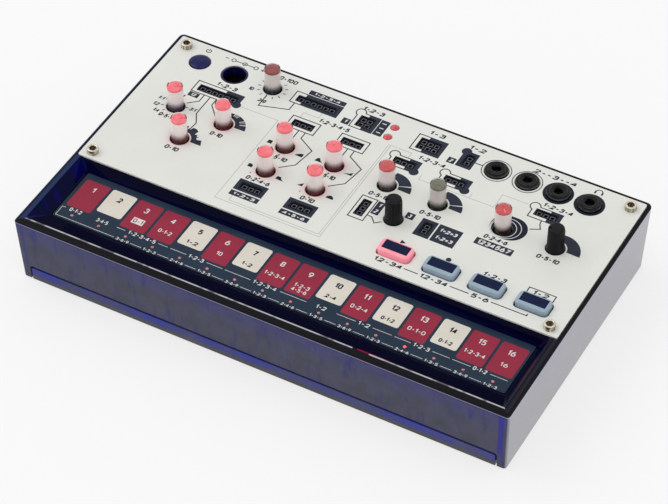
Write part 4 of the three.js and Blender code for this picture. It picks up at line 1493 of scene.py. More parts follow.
@dataclass(frozen=True)
class UpperCase:
    """The tinted shell with the rim, the panel's pocket and the sunken tray."""

    node: str = "upper_case"
    corner: float = 2.2
    front_corner: float = 1.2
    foot_edge: float = 0.15
    wall: float = 2.0
    room_corner: float = 0.8
    side_lean: float = 0.9
    end_lean: float = 1.8
    rim_round: float = 0.8
    edge: float = 0.22
    panel_gap: float = 0.2
    panel_corner: float = 0.7
    tray_depth: float = 4.4
    tray_floor: float = 1.6
    tray_corner: float = 0.4
    tray_spread: float = 0.6
    side_slope: float = 3.4
    front_slope: float = 8.7
    back_slope: float = 2.4
    overlay_gap: float = 0.3
    side_gap: float = 1.1
    front_gap: float = 0.7
    window_ledge: float = 1.2
    deck: float = 1.8
    deck_ledge: float = 4.5
    deck_step: float = 7.05
    notch_room: float = 4.15
    notch_top: float = 7.05
    notch_corner: float = 1.2
    well: float = 4.3
    well_gap: float = 0.3
    collar: float = 0.65

    def build(self) -> Pieces:
        """Makes the shell and the collar of the inlet.

        Yields:
            The pieces.
        """
        shell = self._outside().piece("upper_shell", SHELL, smooth=30, cutters=self._cutters())
        yield seat(shell, "case", "tinted_case", self.node)
        high, outer = heights(self.node)[1], self.well + self.collar
        profile = [(self.well, self._deck_foot()), (outer, self._deck_foot())]
        profile += [(outer - step, high - drop) for step, drop in ((0, 0.2), (0.06, 0.06), (0.2, 0))]
        profile += [(self.well + step, high - drop) for step, drop in ((0.2, 0), (0.06, 0.06), (0, 0.2))]
        collar = Maker().lathe(profile, Rect.of_node("power_inlet").middle, 64, ring=True)
        yield seat(collar.piece("inlet_collar", WELL), "case", "tinted_case")

    def _deck_foot(self) -> float:
        """The height of the underside of the deck that carries the panel."""
        return heights("top_panel")[0] - self.panel_gap - self.deck

    def _leaning(self, height: float, inset: float = 0.0) -> Rect:
        """Finds the plan of the walls at a height.

        Args:
            height: The height.
            inset: How far inside the outer face.

        Returns:
            The rectangle.
        """
        low, high = heights(self.node)
        share = max(0.0, (high - self.rim_round - height) / (high - self.rim_round - low))
        plan = Rect.of_node(self.node)
        return plan.grown(-self.side_lean * share - inset, -self.end_lean * share - inset)

    def _outside(self) -> Maker:
        """Makes the outside with its rounded rim.

        Returns:
            The body.
        """
        low, high = heights(self.node)
        start = low + self.foot_edge
        first = self._leaning(start).grown(-self.foot_edge)
        rings = [(first.outline(self.corner, 10, self.front_corner), low)]
        bends = rounding(self.rim_round, 0, 18, 36, 54, 72, 90)
        levels = [(0.0, start)] + [(inset, high - self.rim_round + rise) for inset, rise in bends]
        for inset, height in levels:
            plan = self._leaning(height, inset)
            rings.append((plan.outline(self.corner - inset, 10, self.front_corner - inset), height))
        return Maker().loft(rings)

    def _cutters(self) -> list[Maker]:
        """Makes everything that is cut out of the outside.

        Returns:
            The cutters.
        """
        low, high = heights(self.node)
        panel = Rect.of_node("top_panel").grown(self.panel_gap)
        overlay = Rect.of_node("touch_overlay")
        inlet, power = (Rect.of_node(node).middle for node in ("power_inlet", "power_button"))
        deck_foot, tray_top = self._deck_foot(), high - self.tray_depth
        panel_foot, tray_foot = deck_foot + self.deck, tray_top - self.tray_floor
        inside = self._leaning(deck_foot, self.wall)
        behind = overlay.back + self.overlay_gap + self.tray_floor
        upper = Rect(inside.left, inside.right, behind, inside.back)
        mouth = [(0.0, panel_foot), (0.0, high - self.edge), (self.edge, high + 0.01), (self.edge, high + 1)]
        ledge = panel.grown(-self.deck_ledge)
        step_x, step_y = inlet[0] + self.deck_step, inlet[1] - self.deck_step
        deck = ledge.outline()[:2] + [(ledge.right, ledge.back), (step_x, ledge.back)]
        deck += [(step_x, step_y), (ledge.left, step_y)]
        overlay_foot = heights("touch_overlay")[0] - self.panel_gap
        room = [(self._leaning(z, self.wall).outline(self.room_corner), z) for z in (low - 1, tray_foot)]
        return [
            Maker().loft(room),
            Maker().prism(upper.outline(), tray_foot - 0.5, deck_foot),
            Maker().loft([(panel.grown(grow).outline(self.panel_corner + grow), z) for grow, z in mouth]),
            Maker().prism(deck, deck_foot - 1, panel_foot + 0.5),
            self._tray(overlay, tray_top, high),
            Maker().prism(overlay.grown(self.overlay_gap).outline(1.0), overlay_foot, tray_top + 0.5),
            Maker().prism(overlay.grown(-self.window_ledge).outline(), tray_foot - 0.5, overlay_foot + 0.3),
            self._notch(),
            Maker().prism(circle(inlet, self.well + self.well_gap, 48), deck_foot - 1, high + 1),
            Maker().prism(circle(power, self.well, 48), deck_foot - 1, high + 1),
        ]

    def _tray(self, overlay: Rect, floor: float, high: float) -> Maker:
        """Makes the tray that widens upwards round the keyboard.

        Args:
            overlay: The plan of the keyboard.
            floor: The height of its floor.
            high: The height of the rim.

        Returns:
            The cutter.
        """
        foot = Rect(
            overlay.left - self.side_gap, overlay.right + self.side_gap,
            overlay.front - self.front_gap, overlay.back + self.overlay_gap,
        )
        rings = [(foot.outline(self.tray_corner), floor)]
        for height, flare in ((high - self.edge, 0.0), (high + 0.02, self.edge), (high + 1, self.edge)):
            share = (min(height, high - self.edge) - floor) / self.tray_depth
            spread = Rect(
                foot.left - self.side_slope * share - flare, foot.right + self.side_slope * share + flare,
                foot.front - self.front_slope * share - flare, foot.back + self.back_slope * share,
            )
            rings.append((spread.outline(self.tray_corner + self.tray_spread * share), height))
        return Maker().loft(rings)

    def _notch(self) -> Maker:
        """Makes the long notch through the front and back walls.

        Returns:
            The cutter.
        """
        plan = Rect.of_node(self.node)
        low = heights(self.node)[0] - 3
        face = Rect(plan.left + self.notch_room, plan.right - self.notch_room, low, self.notch_top)
        notch = Maker().prism(face.outline(self.notch_corner), plan.front - 2, plan.back + 2)
        notch.points = [(x, z, y) for x, y, z in notch.points]
        return notch


@dataclass(frozen=True)
class BottomCase:
    """The floor with its strips, and the door of the battery bay."""

    edge: float = 0.18
    strip: float = 54.0
    lower: float = 0.4

    def build(self) -> Pieces:
        """Refines the floor and the door.

        Yields:
            The pieces.
        """
        shape = refined("bottom_case", STRIP, self.edge)
        strips = [point for point in shape.data.vertices if abs(point.co.y) > self.strip * MILLIMETRE]
        brink = max(point.co.z for point in strips) - 2 * self.edge * MILLIMETRE
        for point in strips:
            if point.co.z > brink:
                point.co.z -= self.lower * MILLIMETRE
        yield seat(shape, "case", "tinted_case", "bottom_case")
        door = refined("battery_door", STRIP, self.edge)
        yield seat(door, "battery_door", "tinted_case", "battery_door")


@dataclass(frozen=True)
class TopPanel:
    """The white plate with its cut-outs."""

    corner: float = 0.7
    edge: float = 0.14
    holes: Rows = (
        ("_knob", 3.6),
        ("audio_jack", 4.55),
        ("signal_light", 1.7),
        ("panel_screw", 1.45),
        ("power_button", 4.2),
        ("power_inlet", 5.15),
    )
    patch_gap: float = 0.12
    button_inset: float = 0.65
    button_corner: float = 1.9

    def build(self) -> Pieces:
        """Makes the plate.

        Yields:
            The piece.
        """
        plate = Rect.of_node("top_panel")
        contours = [lambda inset: plate.grown(-inset).outline(self.corner - inset, 8)]
        contours += [hole for node in frame["nodes"] for hole in self._holes(node)]
        maker = Maker().holed_plate(contours, *heights("top_panel"), self.edge)
        yield seat(maker.piece("control_panel", LACQUER, smooth=50), "case", "panel_lacquer", "top_panel")

    def _holes(self, node: str) -> Iterator[Contour]:
        """Finds the hole that a CAD node needs in the plate.

        Args:
            node: The node.

        Yields:
            The contour of the hole, if it needs one.
        """
        rect = Rect.of_node(node)
        for word, radius in self.holes:
            if word in node:
                yield lambda inset, r=radius: circle(rect.middle, r + inset, FINE_SIDES)
        if "patch_socket" in node:
            yield lambda _: rect.grown(self.patch_gap).outline(0.2, 3)
        if "function_button" in node:
            yield lambda inset: rect.grown(inset - self.button_inset).outline(self.button_corner + inset, 8)


@dataclass(frozen=True)
class KnobSet:
    """Thirteen knobs: eleven clear ones over lights, and two black ones."""

    radius: float = 2.97
    dark_radius: float = 3.05
    skirt: float = 3.3
    skirt_top: float = 30.1
    step_top: float = 30.7
    clear_skirt: float = 28.5
    edge: float = 0.35
    dark_edge: float = 0.9
    core: float = 2.36
    crown: float = 2.58
    stem: float = 1.5
    stem_length: float = 5.0
    groove: float = 0.7
    groove_depth: float = 0.3
    dark_groove_depth: float = 1.4
    dark_pointer: float = 1.2
    marked: str = "amount_knob"
    dark: tuple[str, ...] = ("mix_knob", "volume_knob")
    ribs: int = 18
    rib_circle: float = 2.98
    first_rib: float = 100.0

    def build(self) -> Pieces:
        """Makes every knob at its turn of rest.

        Yields:
            The pieces.
        """
        cores = {"ratio": COOL_CORE, "clock": DIM_CORE, "cutoff_2": DARK_CORE}
        cores |= {"cutoff_1": WARM_CORE, "amount": WARM_CORE}
        for joint in frame["joints"]:
            node = joint["child"]
            if not node.endswith("_knob"):
                continue
            turn = -sum(joint["range_deg"]) / 2
            if node in self.dark:
                yield from self._dark(node, turn)
            else:
                yield from self._clear(node, turn, cores.get(node.removesuffix("_knob"), LIT_CORE))

    def _pointer(self, node: str, turn: float, start: float, end: float, width: float) -> Outline:
        """Finds the plan of a line from near the middle of a knob outwards.

        Args:
            node: The knob's node.
            turn: Where it points, in degrees against the clock from the back.
            start: Where the line starts, from the middle.
            end: Where it ends.
            width: Its width.

        Returns:
            The outline.
        """
        centre = Rect.of_node(node).middle
        ends = [arc(centre, r, turn + 90, turn + 90, 1)[0] for r in (start, end)]
        return stroke(ends, width)[0][::-1]

    def _clear(self, node: str, turn: float, core: LitCore) -> Pieces:
        """Makes a clear knob with its milky heart.

        Args:
            node: The knob's node.
            turn: Where it points.
            core: The finish of the heart.

        Yields:
            The pieces.
        """
        low, high = heights(node)
        foot, top = low + self.stem_length, self.clear_skirt
        centre = Rect.of_node(node).middle
        profile = [(0, top + 0.02), (self.radius, top + 0.02), (self.radius, high - self.edge)]
        profile += [(self.radius - 0.1, high - 0.1), (self.radius - self.edge, high), (0, high)]
        groove = self._pointer(node, turn, 0.0, self.radius + 1, self.groove)
        cut = Maker().prism(groove, high - self.groove_depth, high + 1)
        glass = Maker().lathe(profile, centre, FINE_SIDES).piece(f"{node}_clear", CLEAR, cutters=[cut])
        yield seat(glass, node, "clear_knob", node)
        crown = high - self.groove_depth - 0.2
        inner = [(0, low), (self.stem, low), (self.stem, top + 0.1), (self.core, top + 0.1)]
        inner += [(self.core, crown - 1.1), (self.crown, crown - 0.6), (self.crown, crown - 0.1)]
        heart = Maker().lathe(inner + [(self.crown - 0.1, crown), (0, crown)], centre)
        yield seat(heart.piece(f"{node}_core", core), node, "clear_knob")
        # The foot ring wears painted shade of the hole.
        ring = [(0, foot), (self.skirt, foot), (self.skirt, top - 0.3), (self.skirt - 0.3, top), (0, top)]
        flange = Maker().lathe(ring, centre, FINE_SIDES)
        yield seat(flange.piece(f"{node}_foot", core.base()), node, "clear_knob")
        if node == self.marked:
            line = self._pointer(node, turn, 0.4, self.radius - 0.45, self.groove * 0.55)
            mark = Maker().prism(line, high - 0.28, high - 0.06)
            yield seat(mark.piece(f"{node}_pointer", BRIGHT_MARK), node, "clear_knob")

    def _dark(self, node: str, turn: float) -> Pieces:
        """Makes a black knob with faint ribs and a notch.

        Args:
            node: The knob's node.
            turn: Where it points.

        Yields:
            The pieces.
        """
        low, high = heights(node)
        foot = low + self.stem_length
        centre = Rect.of_node(node).middle
        brow = self.dark_radius - 0.1
        profile = [(0, low), (self.stem, low), (self.stem, foot), (self.skirt, foot)]
        profile += [(self.skirt, self.skirt_top - 0.3), (self.skirt - 0.12, self.skirt_top)]
        profile.append((self.dark_radius, self.step_top))
        bend = rounding(self.dark_edge, 0, 25, 50, 75, 90)
        profile += [(brow - inset, high - self.dark_edge + rise) for inset, rise in bend]
        start, end = self.dark_radius - self.dark_pointer, self.dark_radius + 1
        notch = self._pointer(node, turn, start, end, self.groove)
        cut = Maker().prism(notch, high - self.dark_groove_depth, high + 1)
        body = Maker().lathe(profile + [(0, high)], centre, FINE_SIDES)
        whole = body.piece(f"{node}_body", BLACK, smooth=40, cutters=[cut])
        yield seat(whole, node, "black_plastic", node)
        sizes = ((0.36, self.step_top), (0.22, high - 1.5))
        rib = Maker().loft([(Rect.about(0, 0, w, w).outline(0.08, 2), z) for w, z in sizes])
        turns = {"Count": self.ribs, "Radius": self.rib_circle * MILLIMETRE}
        turns |= {"First": math.radians(turn + self.first_rib), "Step": math.tau / (self.ribs + 1)}
        ribs = Layout.ROUND.repeat(f"{node}_ribs", rib, BLACK, (*centre, 0.0), **turns)
        yield seat(ribs, node, "black_plastic")


@dataclass(frozen=True)
class ButtonSet:
    """Four function buttons with dark inlays; the first is lit."""

    count: int = 4
    corner: float = 1.8
    edge: float = 0.5
    flange: float = 1.1
    flange_height: float = 0.8
    flange_edge: float = 0.15
    inlay: Point = (9.9, 4.35)
    inlay_corner: float = 0.28
    inlay_back: float = 0.5
    inlay_gap: float = 0.04
    inlay_rise: float = 0.06
    sink: float = 0.15

    def build(self) -> Pieces:
        """Makes the buttons.

        Yields:
            The pieces.
        """
        for number in range(1, self.count + 1):
            node = f"function_button_{number}"
            box = Rect.of_node(node)
            low, high = heights(node)
            x, y = box.middle
            place = Rect.about(x, y + self.inlay_back, *self.inlay)
            cut = Maker().prism(place.outline(0.3, 3), high - self.sink, high + 1)
            finish, slot = (LIT_BUTTON, "lit_button_plastic") if number == 1 else (BUTTON, "button_plastic")
            cap = Maker().slab(box.grown(-self.flange), self.corner, low + 0.3, high, self.edge)
            yield seat(cap.piece(f"{node}_cap", finish, cutters=[cut]), node, slot, node)
            rim = Maker().slab(box, self.corner, low, low + self.flange_height, self.flange_edge)
            yield seat(rim.piece(f"{node}_flange", INLAY), node, slot)
            top = high - self.sink + self.inlay_rise
            inlay = Maker().slab(place.grown(-self.inlay_gap), self.inlay_corner, high - 0.4, top, 0.05)
            yield seat(inlay.piece(f"{node}_inlay", INLAY), node, slot)


def domed(span: Point, flange: Point, post: Point, steps: int) -> Outline:
    """Draws the profile of a flange with a domed post on it.

    Args:
        span: The heights of the foot and of the top.
        flange: The radius and the height of the flange.
        post: The radius of the post and the height of its dome.
        steps: How many pieces the dome has.

    Returns:
        Radius and height of each point.
    """
    (low, high), (wide, shoulder), (radius, dome) = span, flange, post
    turns = [math.radians(90 * i / steps) for i in range(steps)]
    bend = [(radius * math.cos(a), high - dome + dome * math.sin(a)) for a in turns]
    return [(0, low), (wide, low), (wide, low + shoulder), (radius, low + shoulder), *bend, (0, high)]


@dataclass(frozen=True)
class PowerCorner:
    """The power button and the socket of the power inlet in its well."""

    post: Point = (4.0, 0.9)
    flange: Point = (5.1, 0.8)
    bore: float = 2.9
    bore_foot: float = 0.8
    pin: float = 0.85

    def build(self) -> Pieces:
        """Makes the button and the socket.

        Yields:
            The pieces.
        """
        profile = domed(heights("power_button"), self.flange, self.post, 8)
        button = Maker().lathe(profile, Rect.of_node("power_button").middle, FINE_SIDES)
        dome = button.piece("power_button_dome", DOME, smooth=50)
        yield seat(dome, "power_button", "power_dome", "power_button")
        box = Rect.of_node("power_inlet")
        low, high = heights("power_inlet")
        bore = Maker().prism(circle(box.middle, self.bore, 40), low + self.bore_foot, high + 1)
        block = Maker().slab(box, 0.4, low, high, 0.2)
        body = block.piece("power_inlet_body", GLOSS_BLACK, cutters=[bore])
        yield seat(body, "case", "black_plastic", "power_inlet")
        profile = [(0, low + 0.5), (self.pin, low + 0.5), (self.pin, high - 0.5)]
        pin = Maker().lathe(profile + [(self.pin - 0.3, high - 0.2), (0, high - 0.2)], box.middle, 24)
        yield seat(pin.piece("power_inlet_pin", NICKEL), "case", "contact_steel")


@dataclass(frozen=True)
class JackRow:
    """Four audio jacks with wide black collars."""

    count: int = 4
    collar: float = 4.35
    collar_rise: float = 0.9
    ring: float = 3.2
    bore: float = 1.8
    bore_gap: float = 0.4
    bore_foot: float = 21.2
    body_top: float = 27.1
    cut_top: float = 30.0
    sleeve_top: float = 27.4
    sleeve: Point = (0.25, 0.02)

    def build(self) -> Pieces:
        """Makes the jacks.

        Yields:
            The pieces.
        """
        top, foot, bore = heights("top_panel")[1] + self.collar_rise, self.bore_foot, self.bore
        back, front = (bore - step for step in self.sleeve)
        for number in range(1, self.count + 1):
            node = f"audio_jack_{number}"
            box = Rect.of_node(node)
            low, high = heights(node)
            cut = Maker().prism(circle(box.middle, bore + self.bore_gap, 40), foot, self.cut_top)
            block = Maker().slab(box, 0.4, low, self.body_top, 0.15)
            body = block.piece(f"{node}_body", BLACK, cutters=[cut])
            yield seat(body, "case", "black_plastic", node)
            profile = [(bore, foot), (self.collar, foot + 3), (self.collar, top - 0.35)]
            profile += [(self.collar - 0.12, top - 0.1), (self.collar - 0.35, top), (self.ring + 0.1, top)]
            profile += [(self.ring, top + 0.1), (self.ring, high - 0.2), (self.ring - 0.2, high)]
            profile += [(bore + 0.35, high), (bore + 0.1, high - 0.12), (bore, high - 0.4)]
            collar = Maker().lathe(profile, box.middle, FINE_SIDES, ring=True)
            yield seat(collar.piece(f"{node}_collar", GLOSS_BLACK), "case", "black_plastic")
            wall = [(back, foot), (front, foot), (front, self.sleeve_top), (back, self.sleeve_top)]
            sleeve = Maker().lathe(wall, box.middle, 32, ring=True)
            yield seat(sleeve.piece(f"{node}_sleeve", NICKEL), "case", "contact_steel")


@dataclass(frozen=True)
class PatchField:
    """The patch sockets: rows of square cells, each with a pair of springs."""

    pitch: float = 2.54
    cell: float = 2.4
    cell_edge: float = 0.14
    hole: float = 1.2
    leaf: Point = (0.6, 0.16)
    leaf_place: float = 0.34
    line: float = 1.85
    line_width: float = 0.28
    wall_top: float = 5.0
    web_drop: float = 0.3
    sink: float = 0.7
    # Reach of a dark sheet that stands in for the shade in the gap round a socket.
    liner: float = 0.11
    liner_span: Point = (27.4, 28.93)

    def build(self) -> Pieces:
        """Makes every socket.

        Yields:
            The pieces.
        """
        for node in nodes_named("patch_socket"):
            box = Rect.of_node(node)
            low, high = heights(node)
            floor = high - self.wall_top
            cells = self._repeated(node, "cells", self._cell(floor, high), HEADER)
            springs = Maker()
            wide, thin = self.hole * self.leaf[0], self.leaf[1]
            for side in (-1, 1):
                leaf = Rect.about(0, side * self.hole * self.leaf_place, wide, thin)
                springs.prism(leaf.outline(), floor, high - self.sink)
            contacts = self._repeated(node, "contacts", springs, CONTACT)
            block = Maker().slab(box, 0.1, low, floor + 0.05, 0.04)
            yield seat(block.piece(f"{node}_foot", BLACK), "case", "black_plastic", node)
            contours = [lambda inset: box.grown(-inset).outline(0.12, 1), *self._holes(box)]
            web = Maker().holed_plate(contours, floor, high - self.web_drop, 0.02)
            yield seat(web.piece(f"{node}_web", HEADER), "case", "black_plastic")
            # Thin pale rings on the cells, painted highlights of their edges.
            lines = self._repeated(node, "lines", self._border(high), CELL_EDGE_HIGHLIGHT)
            yield seat(cells, "case", "black_plastic")
            yield seat(lines, "case", "black_plastic")
            # A dark sheet in the gap between the socket and the panel, painted shade of the gap.
            outer = box.grown(self.liner).outline(0.19, 3)
            contours = [lambda _: outer, lambda inset: box.grown(inset).outline(0.05, 3)]
            liner = Maker().holed_plate(contours, *self.liner_span, 0.02)
            yield seat(liner.piece(f"{node}_liner", INK), "case", "black_plastic")
            yield seat(contacts, "case", "contact_steel")

    def _grid(self, box: Rect) -> tuple[int, int]:
        """Counts the columns and the rows of a socket."""
        columns, rows = (max(1, round(size / self.pitch)) for size in (box.width, box.depth))
        return columns, rows

    def _cell(self, floor: float, high: float) -> Maker:
        """Makes the walls of one cell.

        Args:
            floor: The height of their foot.
            high: The height of their top.

        Returns:
            The cell about the origin of the plan.
        """
        outside, inside = (Rect.about(0, 0, size, size) for size in (self.cell, self.hole))
        contours = [
            lambda inset: outside.grown(-inset).outline(0.2 - inset / 2, 2),
            lambda inset: inside.grown(inset).outline(0.1 + inset, 1),
        ]
        return Maker().holed_plate(contours, floor, high, self.cell_edge)

    def _border(self, high: float) -> Maker:
        """Makes the thin pale ring on top of one cell, a painted highlight of its edges.

        Args:
            high: The height of the cell.

        Returns:
            The line about the origin of the plan.
        """
        line = Rect.about(0, 0, self.line, self.line)
        contours = [lambda _: line.outline(0.1, 1), lambda _: line.grown(-self.line_width).outline(0.05, 1)]
        return Maker().holed_plate(contours, high - 0.05, high + 0.02, 0.002)

    def _repeated(self, node: str, end: str, part: Maker, finish: Finish) -> Object:
        """Repeats a part at every cell of a socket.

        Args:
            node: The socket's node.
            end: What the piece's name ends in.
            part: The part.
            finish: Its finish.

        Returns:
            The piece.
        """
        box = Rect.of_node(node)
        columns, rows = self._grid(box)
        pitch = self.pitch * MILLIMETRE
        sizes = {"Count": columns * rows, "Columns": columns, "Across": pitch, "Along": pitch}
        return Layout.ROWS.repeat(f"{node}_{end}", part, finish, (*box.middle, 0.0), **sizes)

    def _holes(self, box: Rect) -> list[Contour]:
        """Finds the holes between the cells' walls.

        Args:
            box: The plan of the socket.

        Returns:
            The contour of each hole.
        """
        columns, rows = self._grid(box)
        x, y = box.middle
        across = [x + (i - (columns - 1) / 2) * self.pitch for i in range(columns)]
        along = [y + (j - (rows - 1) / 2) * self.pitch for j in range(rows)]
        spots = [Rect.about(x, y, self.hole, self.hole) for x in across for y in along]
        return [lambda inset, s=spot: s.grown(inset).outline() for spot in spots]


@dataclass(frozen=True)
class SmallParts:
    """Lights, screws and feet, and the pieces inside that keep their shapes."""

    light: Point = (1.5, 0.75)
    light_flange: Point = (1.9, 1.0)
    head: float = 2.15
    head_rise: float = 1.6
    head_proud: float = 0.5
    head_sides: int = 24
    shank: float = 1.25
    hex_across: float = 2.5
    hex_depth: float = 1.0
    hex_turn: float = 15.0

    def build(self) -> Pieces:
        """Makes the small parts and dresses the hidden ones.

        Yields:
            The new pieces.
        """
        for node in nodes_named("signal_light"):
            profile = domed(heights(node), self.light_flange, self.light, 7)
            lens = Maker().lathe(profile, Rect.of_node(node).middle, 32)
            yield seat(lens.piece(f"{node}_lens", RED_LIGHT, smooth=50), "case", "red_light", node)
        yield self._spread("panel_screws", self._screw, SCREW, "nickel_screw", nodes_named("panel_screw"))
        yield self._spread("case_screws", self._case_screw, NICKEL, "nickel_screw", nodes_named("case_screw"))
        yield self._spread("rubber_feet", self._foot, RUBBER, "rubber_foot", nodes_named("foot_"))
        yield seat(refined("loudspeaker", SPEAKER, 0.25), "case", "speaker_metal", "loudspeaker")
        for finish, words in ((CIRCUIT, ("_board",)), (RIBBON, ("ribbon",)), (STEEL, ("battery_contact",))):
            for node in nodes_named(*words):
                for slot in frame["nodes"][node].material_slots:
                    slot.material = finish.material()
                LOG.info("%s keeps its shape and wears %s", node, finish.name)

    @staticmethod
    def _spread(name: str, shape: Callable, finish: Finish, slot: str, nodes: Sequence[str]) -> Object:
        """Repeats a part at the places of some nodes that lie in rows.

        Args:
            name: The name of the piece.
            shape: Makes the part about the origin of the plan, from its heights and its radius.
            finish: Its finish.
            slot: Its material slot.
            nodes: The nodes.

        Returns:
            The piece.
        """
        part = shape(*heights(nodes[0]), Rect.of_node(nodes[0]).width / 2)
        spots = [Rect.of_node(node).middle for node in nodes]
        xs, ys = (sorted({round(place, 2) for place in places}) for places in zip(*spots))
        sizes = {"Count": len(xs) * len(ys), "Columns": len(xs)}
        sizes |= {"Across": (xs[-1] - xs[0]) * MILLIMETRE, "Along": (ys[-1] - ys[0]) * MILLIMETRE}
        middle = ((xs[0] + xs[-1]) / 2, (ys[0] + ys[-1]) / 2, 0.0)
        return seat(Layout.ROWS.repeat(name, part, finish, middle, **sizes), "case", slot, *nodes)

    def _screw(self, low: float, high: float, _: float) -> Maker:
        """Makes a socket-head screw of the panel.

        Args:
            low: The height of its foot.
            high: The height of its CAD model's top.
            _: The radius of its CAD model, which its own measures replace.

        Returns:
            The screw.
        """
        corner = self.hex_across / 2 / math.cos(math.radians(30))
        foot, top = high - self.head_rise, high + self.head_proud
        profile = [(self.shank, low), (self.shank, foot), (self.head, foot), (self.head, top - 0.32)]
        profile += [(self.head - 0.1, top - 0.1), (self.head - 0.34, top), (corner + 0.16, top)]
        rings = [(circle((0, 0), radius, self.head_sides), z) for radius, z in profile]
        walk = [self._on_hexagon(360 * i / self.head_sides) for i in range(self.head_sides)]
        return Maker().loft(rings + [(walk, top - 0.14), (walk, high - self.hex_depth)])

    def _on_hexagon(self, turn: float) -> Point:
        """Finds where a ray from the middle of the screw meets its hexagon."""
        reach = self.hex_across / 2 / math.cos(math.radians((turn - self.hex_turn) % 60 - 30))
        return reach * math.cos(math.radians(turn)), reach * math.sin(math.radians(turn))

    def _case_screw(self, low: float, high: float, radius: float) -> Maker:
        """Makes a screw of the bottom case, with its head below.

        Args:
            low: The height of its head.
            high: The height of its end.
            radius: The radius of its head.

        Returns:
            The screw.
        """
        profile = [(0, low + 0.9), (0.9, low + 0.6), (1.0, low), (radius - 0.3, low), (radius, low + 0.3)]
        profile += [(radius, low + 1.7), (self.shank, low + 1.9), (self.shank, high - 0.4), (0, high)]
        return Maker().lathe(profile, (0, 0), 28)

    @staticmethod
    def _foot(low: float, high: float, radius: float) -> Maker:
        """Makes a rubber foot with a hollow sole.

        Args:
            low: The height of its sole.
            high: The height of its top.
            radius: Its radius.

        Returns:
            The foot.
        """
        profile = [(0, low + 0.12), (radius - 1.4, low + 0.1), (radius - 1.1, low), (radius - 0.5, low)]
        profile += [(radius - 0.1, low + 0.35), (radius, low + 0.8), (radius, high), (0, high)]
        return Maker().lathe(profile, (0, 0))


def clipped(outline: Outline, axis: int, limit: float, keep_low: bool) -> Outline:
    """Cuts an outline along an upright or level line.

    Args:
        outline: The outline.
        axis: 0 to cut at a place along X, 1 for Y.
        limit: Where the cut lies.
        keep_low: Whether the side below the cut stays.

    Returns:
        What stays, which may be empty.
    """
    kept: Outline = []
    for here, after in zip(outline, outline[1:] + outline[:1]):
        inside, next_inside = ((point[axis] <= limit) == keep_low for point in (here, after))
        if inside:
            kept.append(here)
        if inside != next_inside:
            share = (limit - here[axis]) / (after[axis] - here[axis])
            kept.append((here[0] + (after[0] - here[0]) * share, here[1] + (after[1] - here[1]) * share))
    return kept


def without(outline: Outline, hole: Rect) -> list[Outline]:
    """Takes a rectangle out of an outline.

    Args:
        outline: The outline.
        hole: The rectangle.

    Returns:
        The pieces that are left.
    """
    xs, ys = zip(*outline)
    if max(xs) <= hole.left or min(xs) >= hole.right or max(ys) <= hole.front or min(ys) >= hole.back:
        return [outline]
    middle = clipped(clipped(outline, 0, hole.left, False), 0, hole.right, True)
    cuts = [(outline, 0, hole.left, True), (outline, 0, hole.right, False)]
    cuts += [(middle, 1, hole.front, True), (middle, 1, hole.back, False)]
    parts = [clipped(*cut) for cut in cuts]
    return [part for part in parts if len(part) > 2]


def sector(centre: Point, inner: float, outer: Point, angles: Point) -> Outline:
    """Walks round a stretch of a gauge that widens towards its end.

    Args:
        centre: The middle of the gauge.
        inner: The inner radius.
        outer: The outer radius at 90 degrees and at 0 degrees.
        angles: The first and the last direction in degrees from +X.

    Returns:
        The outline against the clock.
    """
    first, last = angles
    steps = max(2, round((last - first) / 5))
    turns = [first + (last - first) * i / steps for i in range(steps + 1)]
    rim = [arc(centre, outer[1] + (outer[0] - outer[1]) * turn / 90, turn, turn, 1)[0] for turn in turns]
    return rim + arc(centre, inner, last, first, steps)


def tabbed(box: Rect, centre: Point, radius: float) -> Outline:
    """Walks round a box with a round tab over its left back corner.

    Args:
        box: The box.
        centre: The middle of the tab.
        radius: The radius of the tab.

    Returns:
        The outline against the clock.
    """
    up = math.asin((box.back - centre[1]) / radius)
    side = math.acos((centre[0] - box.left) / radius)
    bend = arc(centre, radius, math.degrees(up), 180 + math.degrees(side), 14)
    return bend + [(box.left, box.front), (box.right, box.front), (box.right, box.back)]


